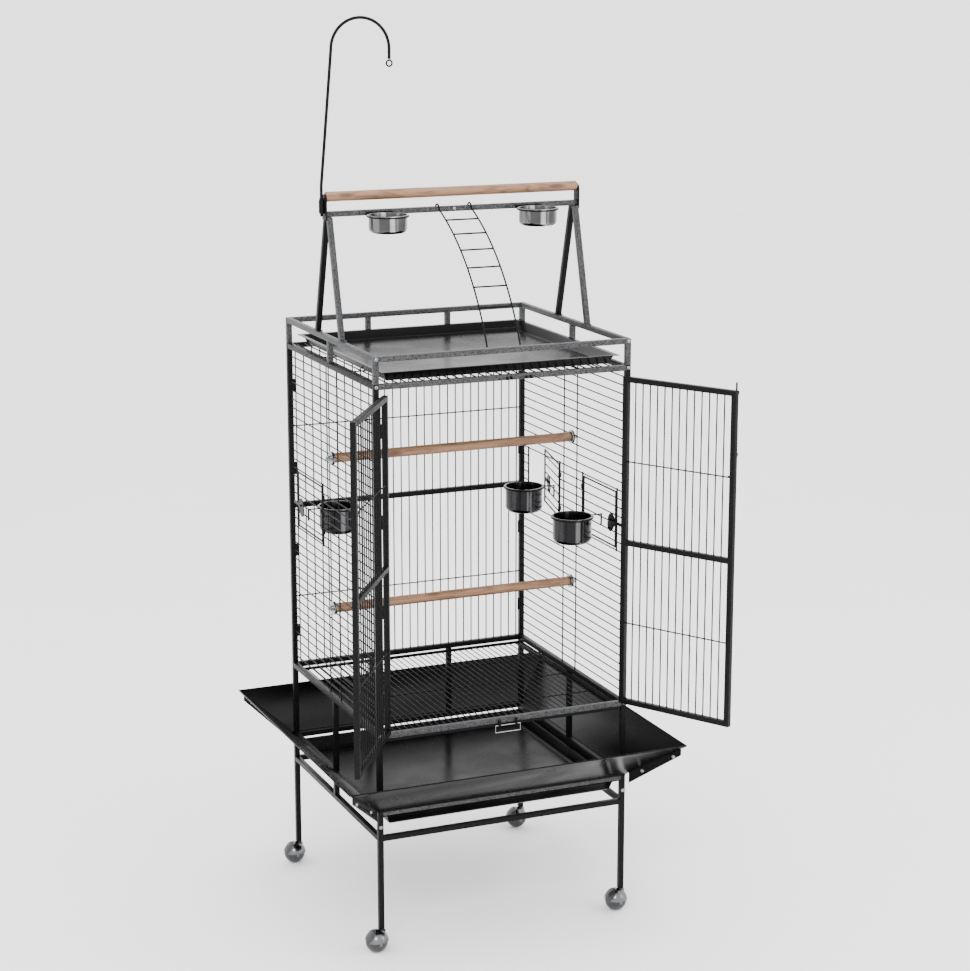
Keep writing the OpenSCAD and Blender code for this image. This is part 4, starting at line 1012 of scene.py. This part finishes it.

# %% [markdown]
# The grate is a frame of narrow bar with rods welded across it, close enough to hold a bird's foot
# up off the droppings, and two hooked knuckles in front.

# %% Floor grate
lo, hi = low("floor_grate"), high("floor_grate")
bar = 0.006
front, top = -half_d + 0.001, z_floor - 0.001
side_x, back = hi.x, hi.y
bars = [((-side_x, front, top - bar), (side_x, front + bar, top)),
        ((-side_x, back - bar, top - bar), (side_x, back, top))]
bars += [((sx * side_x - (bar if sx > 0 else 0), front + 0.001, top - bar),
          (sx * side_x + (0 if sx > 0 else bar), back - 0.001, top)) for sx in (-1, 1)]
pull_x, pull_y, pull_z = 0.006, -half_d - 0.004, top - bar / 2
for s in (-1, 1):
    x = pull_x + s * 0.020
    bars.append(((x - 0.0025, pull_y - 0.0035, pull_z - 0.0035),
                 (x + 0.0025, -half_d + 0.0015, pull_z + 0.002)))
    bars.append(((x - 0.0025, pull_y - 0.0035, pull_z),
                 (x + 0.0025, -half_d - 0.001, z_floor + tube - 0.003)))
bars_piece("grate_frame", [(a, b, 0.0007) for a, b in bars], shaded_vein, "grate_body", "floor_grate")
count = int((2 * side_x - 2 * bar) / 0.015 / 2)
rod_z = top - 0.003
strands = [[(i * 0.015, front + bar - 0.001, rod_z), (i * 0.015, back - bar + 0.001, rod_z)]
           for i in range(-count, count + 1)]
strands += [[(-side_x + bar - 0.001, y * half_d / 2, rod_z - 0.0018),
             (side_x - bar + 0.001, y * half_d / 2, rod_z - 0.0018)]
            for y in (-1, 0, 1)]
wires("grate_rods", strands, 0.00125, wire_black, "grate_body")

# %% [markdown]
# The bowl rings are closed loops of rod with two arms to a small plate on the crossbar.

# %% Bowl rings
ring_lo, ring_hi = low("bowl_rings"), high("bowl_rings")
ring_z = z_bar - 0.003
ring_r = (ring_hi.x - ring_lo.x - 2 * 0.178) / 2 - 0.002
ring_y = ring_lo.y + 0.002 + ring_r
strands, plates = [], []
for s in (-1, 1):
    strands.append(arc((s * 0.178, ring_y, ring_z), ring_r, 90, 450, 64))
    for t in (-1, 1):
        reach_y = ring_y + math.sqrt(ring_r ** 2 - 0.022 ** 2)
        strands.append([(s * 0.178 + t * 0.022, reach_y, ring_z),
                        (s * 0.178 + t * 0.022, low("crossbar").y, ring_z)])
    plates.append(((s * 0.178 - 0.032, low("crossbar").y - 0.002, ring_z - 0.003),
                   (s * 0.178 + 0.032, low("crossbar").y, ring_z + 0.005), 0.0006))
wires("bowl_ring_rods", strands, 0.0019, wire_black, "frame", "bowl_rings", sides=12)
bars_piece("bowl_ring_plates", plates, shaded_vein, "frame")

# %% Floor, backdrop and light
floor_mesh = bpy.data.meshes.new("studio_floor")
span = 120.0
floor_mesh.from_pydata([(-span, -span, 0), (span, -span, 0), (span, span, 0), (-span, span, 0)], [],
                       [(0, 1, 2, 3)])
floor = bpy.data.objects.new("studio_floor", floor_mesh)
bpy.context.scene.collection.objects.link(floor)
pale, tree, shader = finish("pale_floor", (0.94, 0.94, 0.94), 0.0, 0.9)
mottle = node(tree, "ShaderNodeTexNoise", {"Vector": coordinates(tree)}, Scale=2.0, Detail=3.0)
tree.links.new(ramp(tree, mottle.outputs["Fac"], (0.3, grey(0.93)), (0.7, grey(0.95))),
               shader.inputs["Base Color"])
floor_mesh.materials.append(pale)


def soft_box(name, place, target, size, power):
    lamp = bpy.data.lights.new(name, "AREA")
    lamp.shape = "RECTANGLE"
    lamp.size, lamp.size_y = size
    lamp.energy = power
    obj = bpy.data.objects.new(name, lamp)
    obj.location = place
    obj.rotation_euler = (Vector(target) - Vector(place)).to_track_quat("-Z", "Y").to_euler()
    bpy.context.scene.collection.objects.link(obj)


soft_box("key_box", (-2.2, -3.6, 3.6), (0, 0, 1.0), (1.6, 1.6), 150)
soft_box("fill_box", (3.2, -2.6, 2.2), (0, 0, 0.9), (1.6, 2.4), 40)
soft_box("top_box", (0.2, 0.4, 4.4), (0, 0, 1.0), (2.2, 2.2), 50)
world = bpy.data.worlds.new("studio")
bpy.context.scene.world = world
world.use_nodes = True
world.node_tree.nodes["Background"].inputs["Color"].default_value = (1, 1, 1, 1)
world.node_tree.nodes["Background"].inputs["Strength"].default_value = 2.6

# %% Camera
lens = bpy.data.cameras.new("camera")
lens.sensor_width = 36.0
lens.lens = 87.13
camera_place = (-1.9895, -4.8127, 2.186)
camera_down, camera_turn = 13.15, -23.23
camera = bpy.data.objects.new("camera", lens)
camera.location = camera_place
camera.rotation_euler = (math.radians(90 - camera_down), 0.0, math.radians(camera_turn))
bpy.context.scene.collection.objects.link(camera)
bpy.context.scene.camera = camera
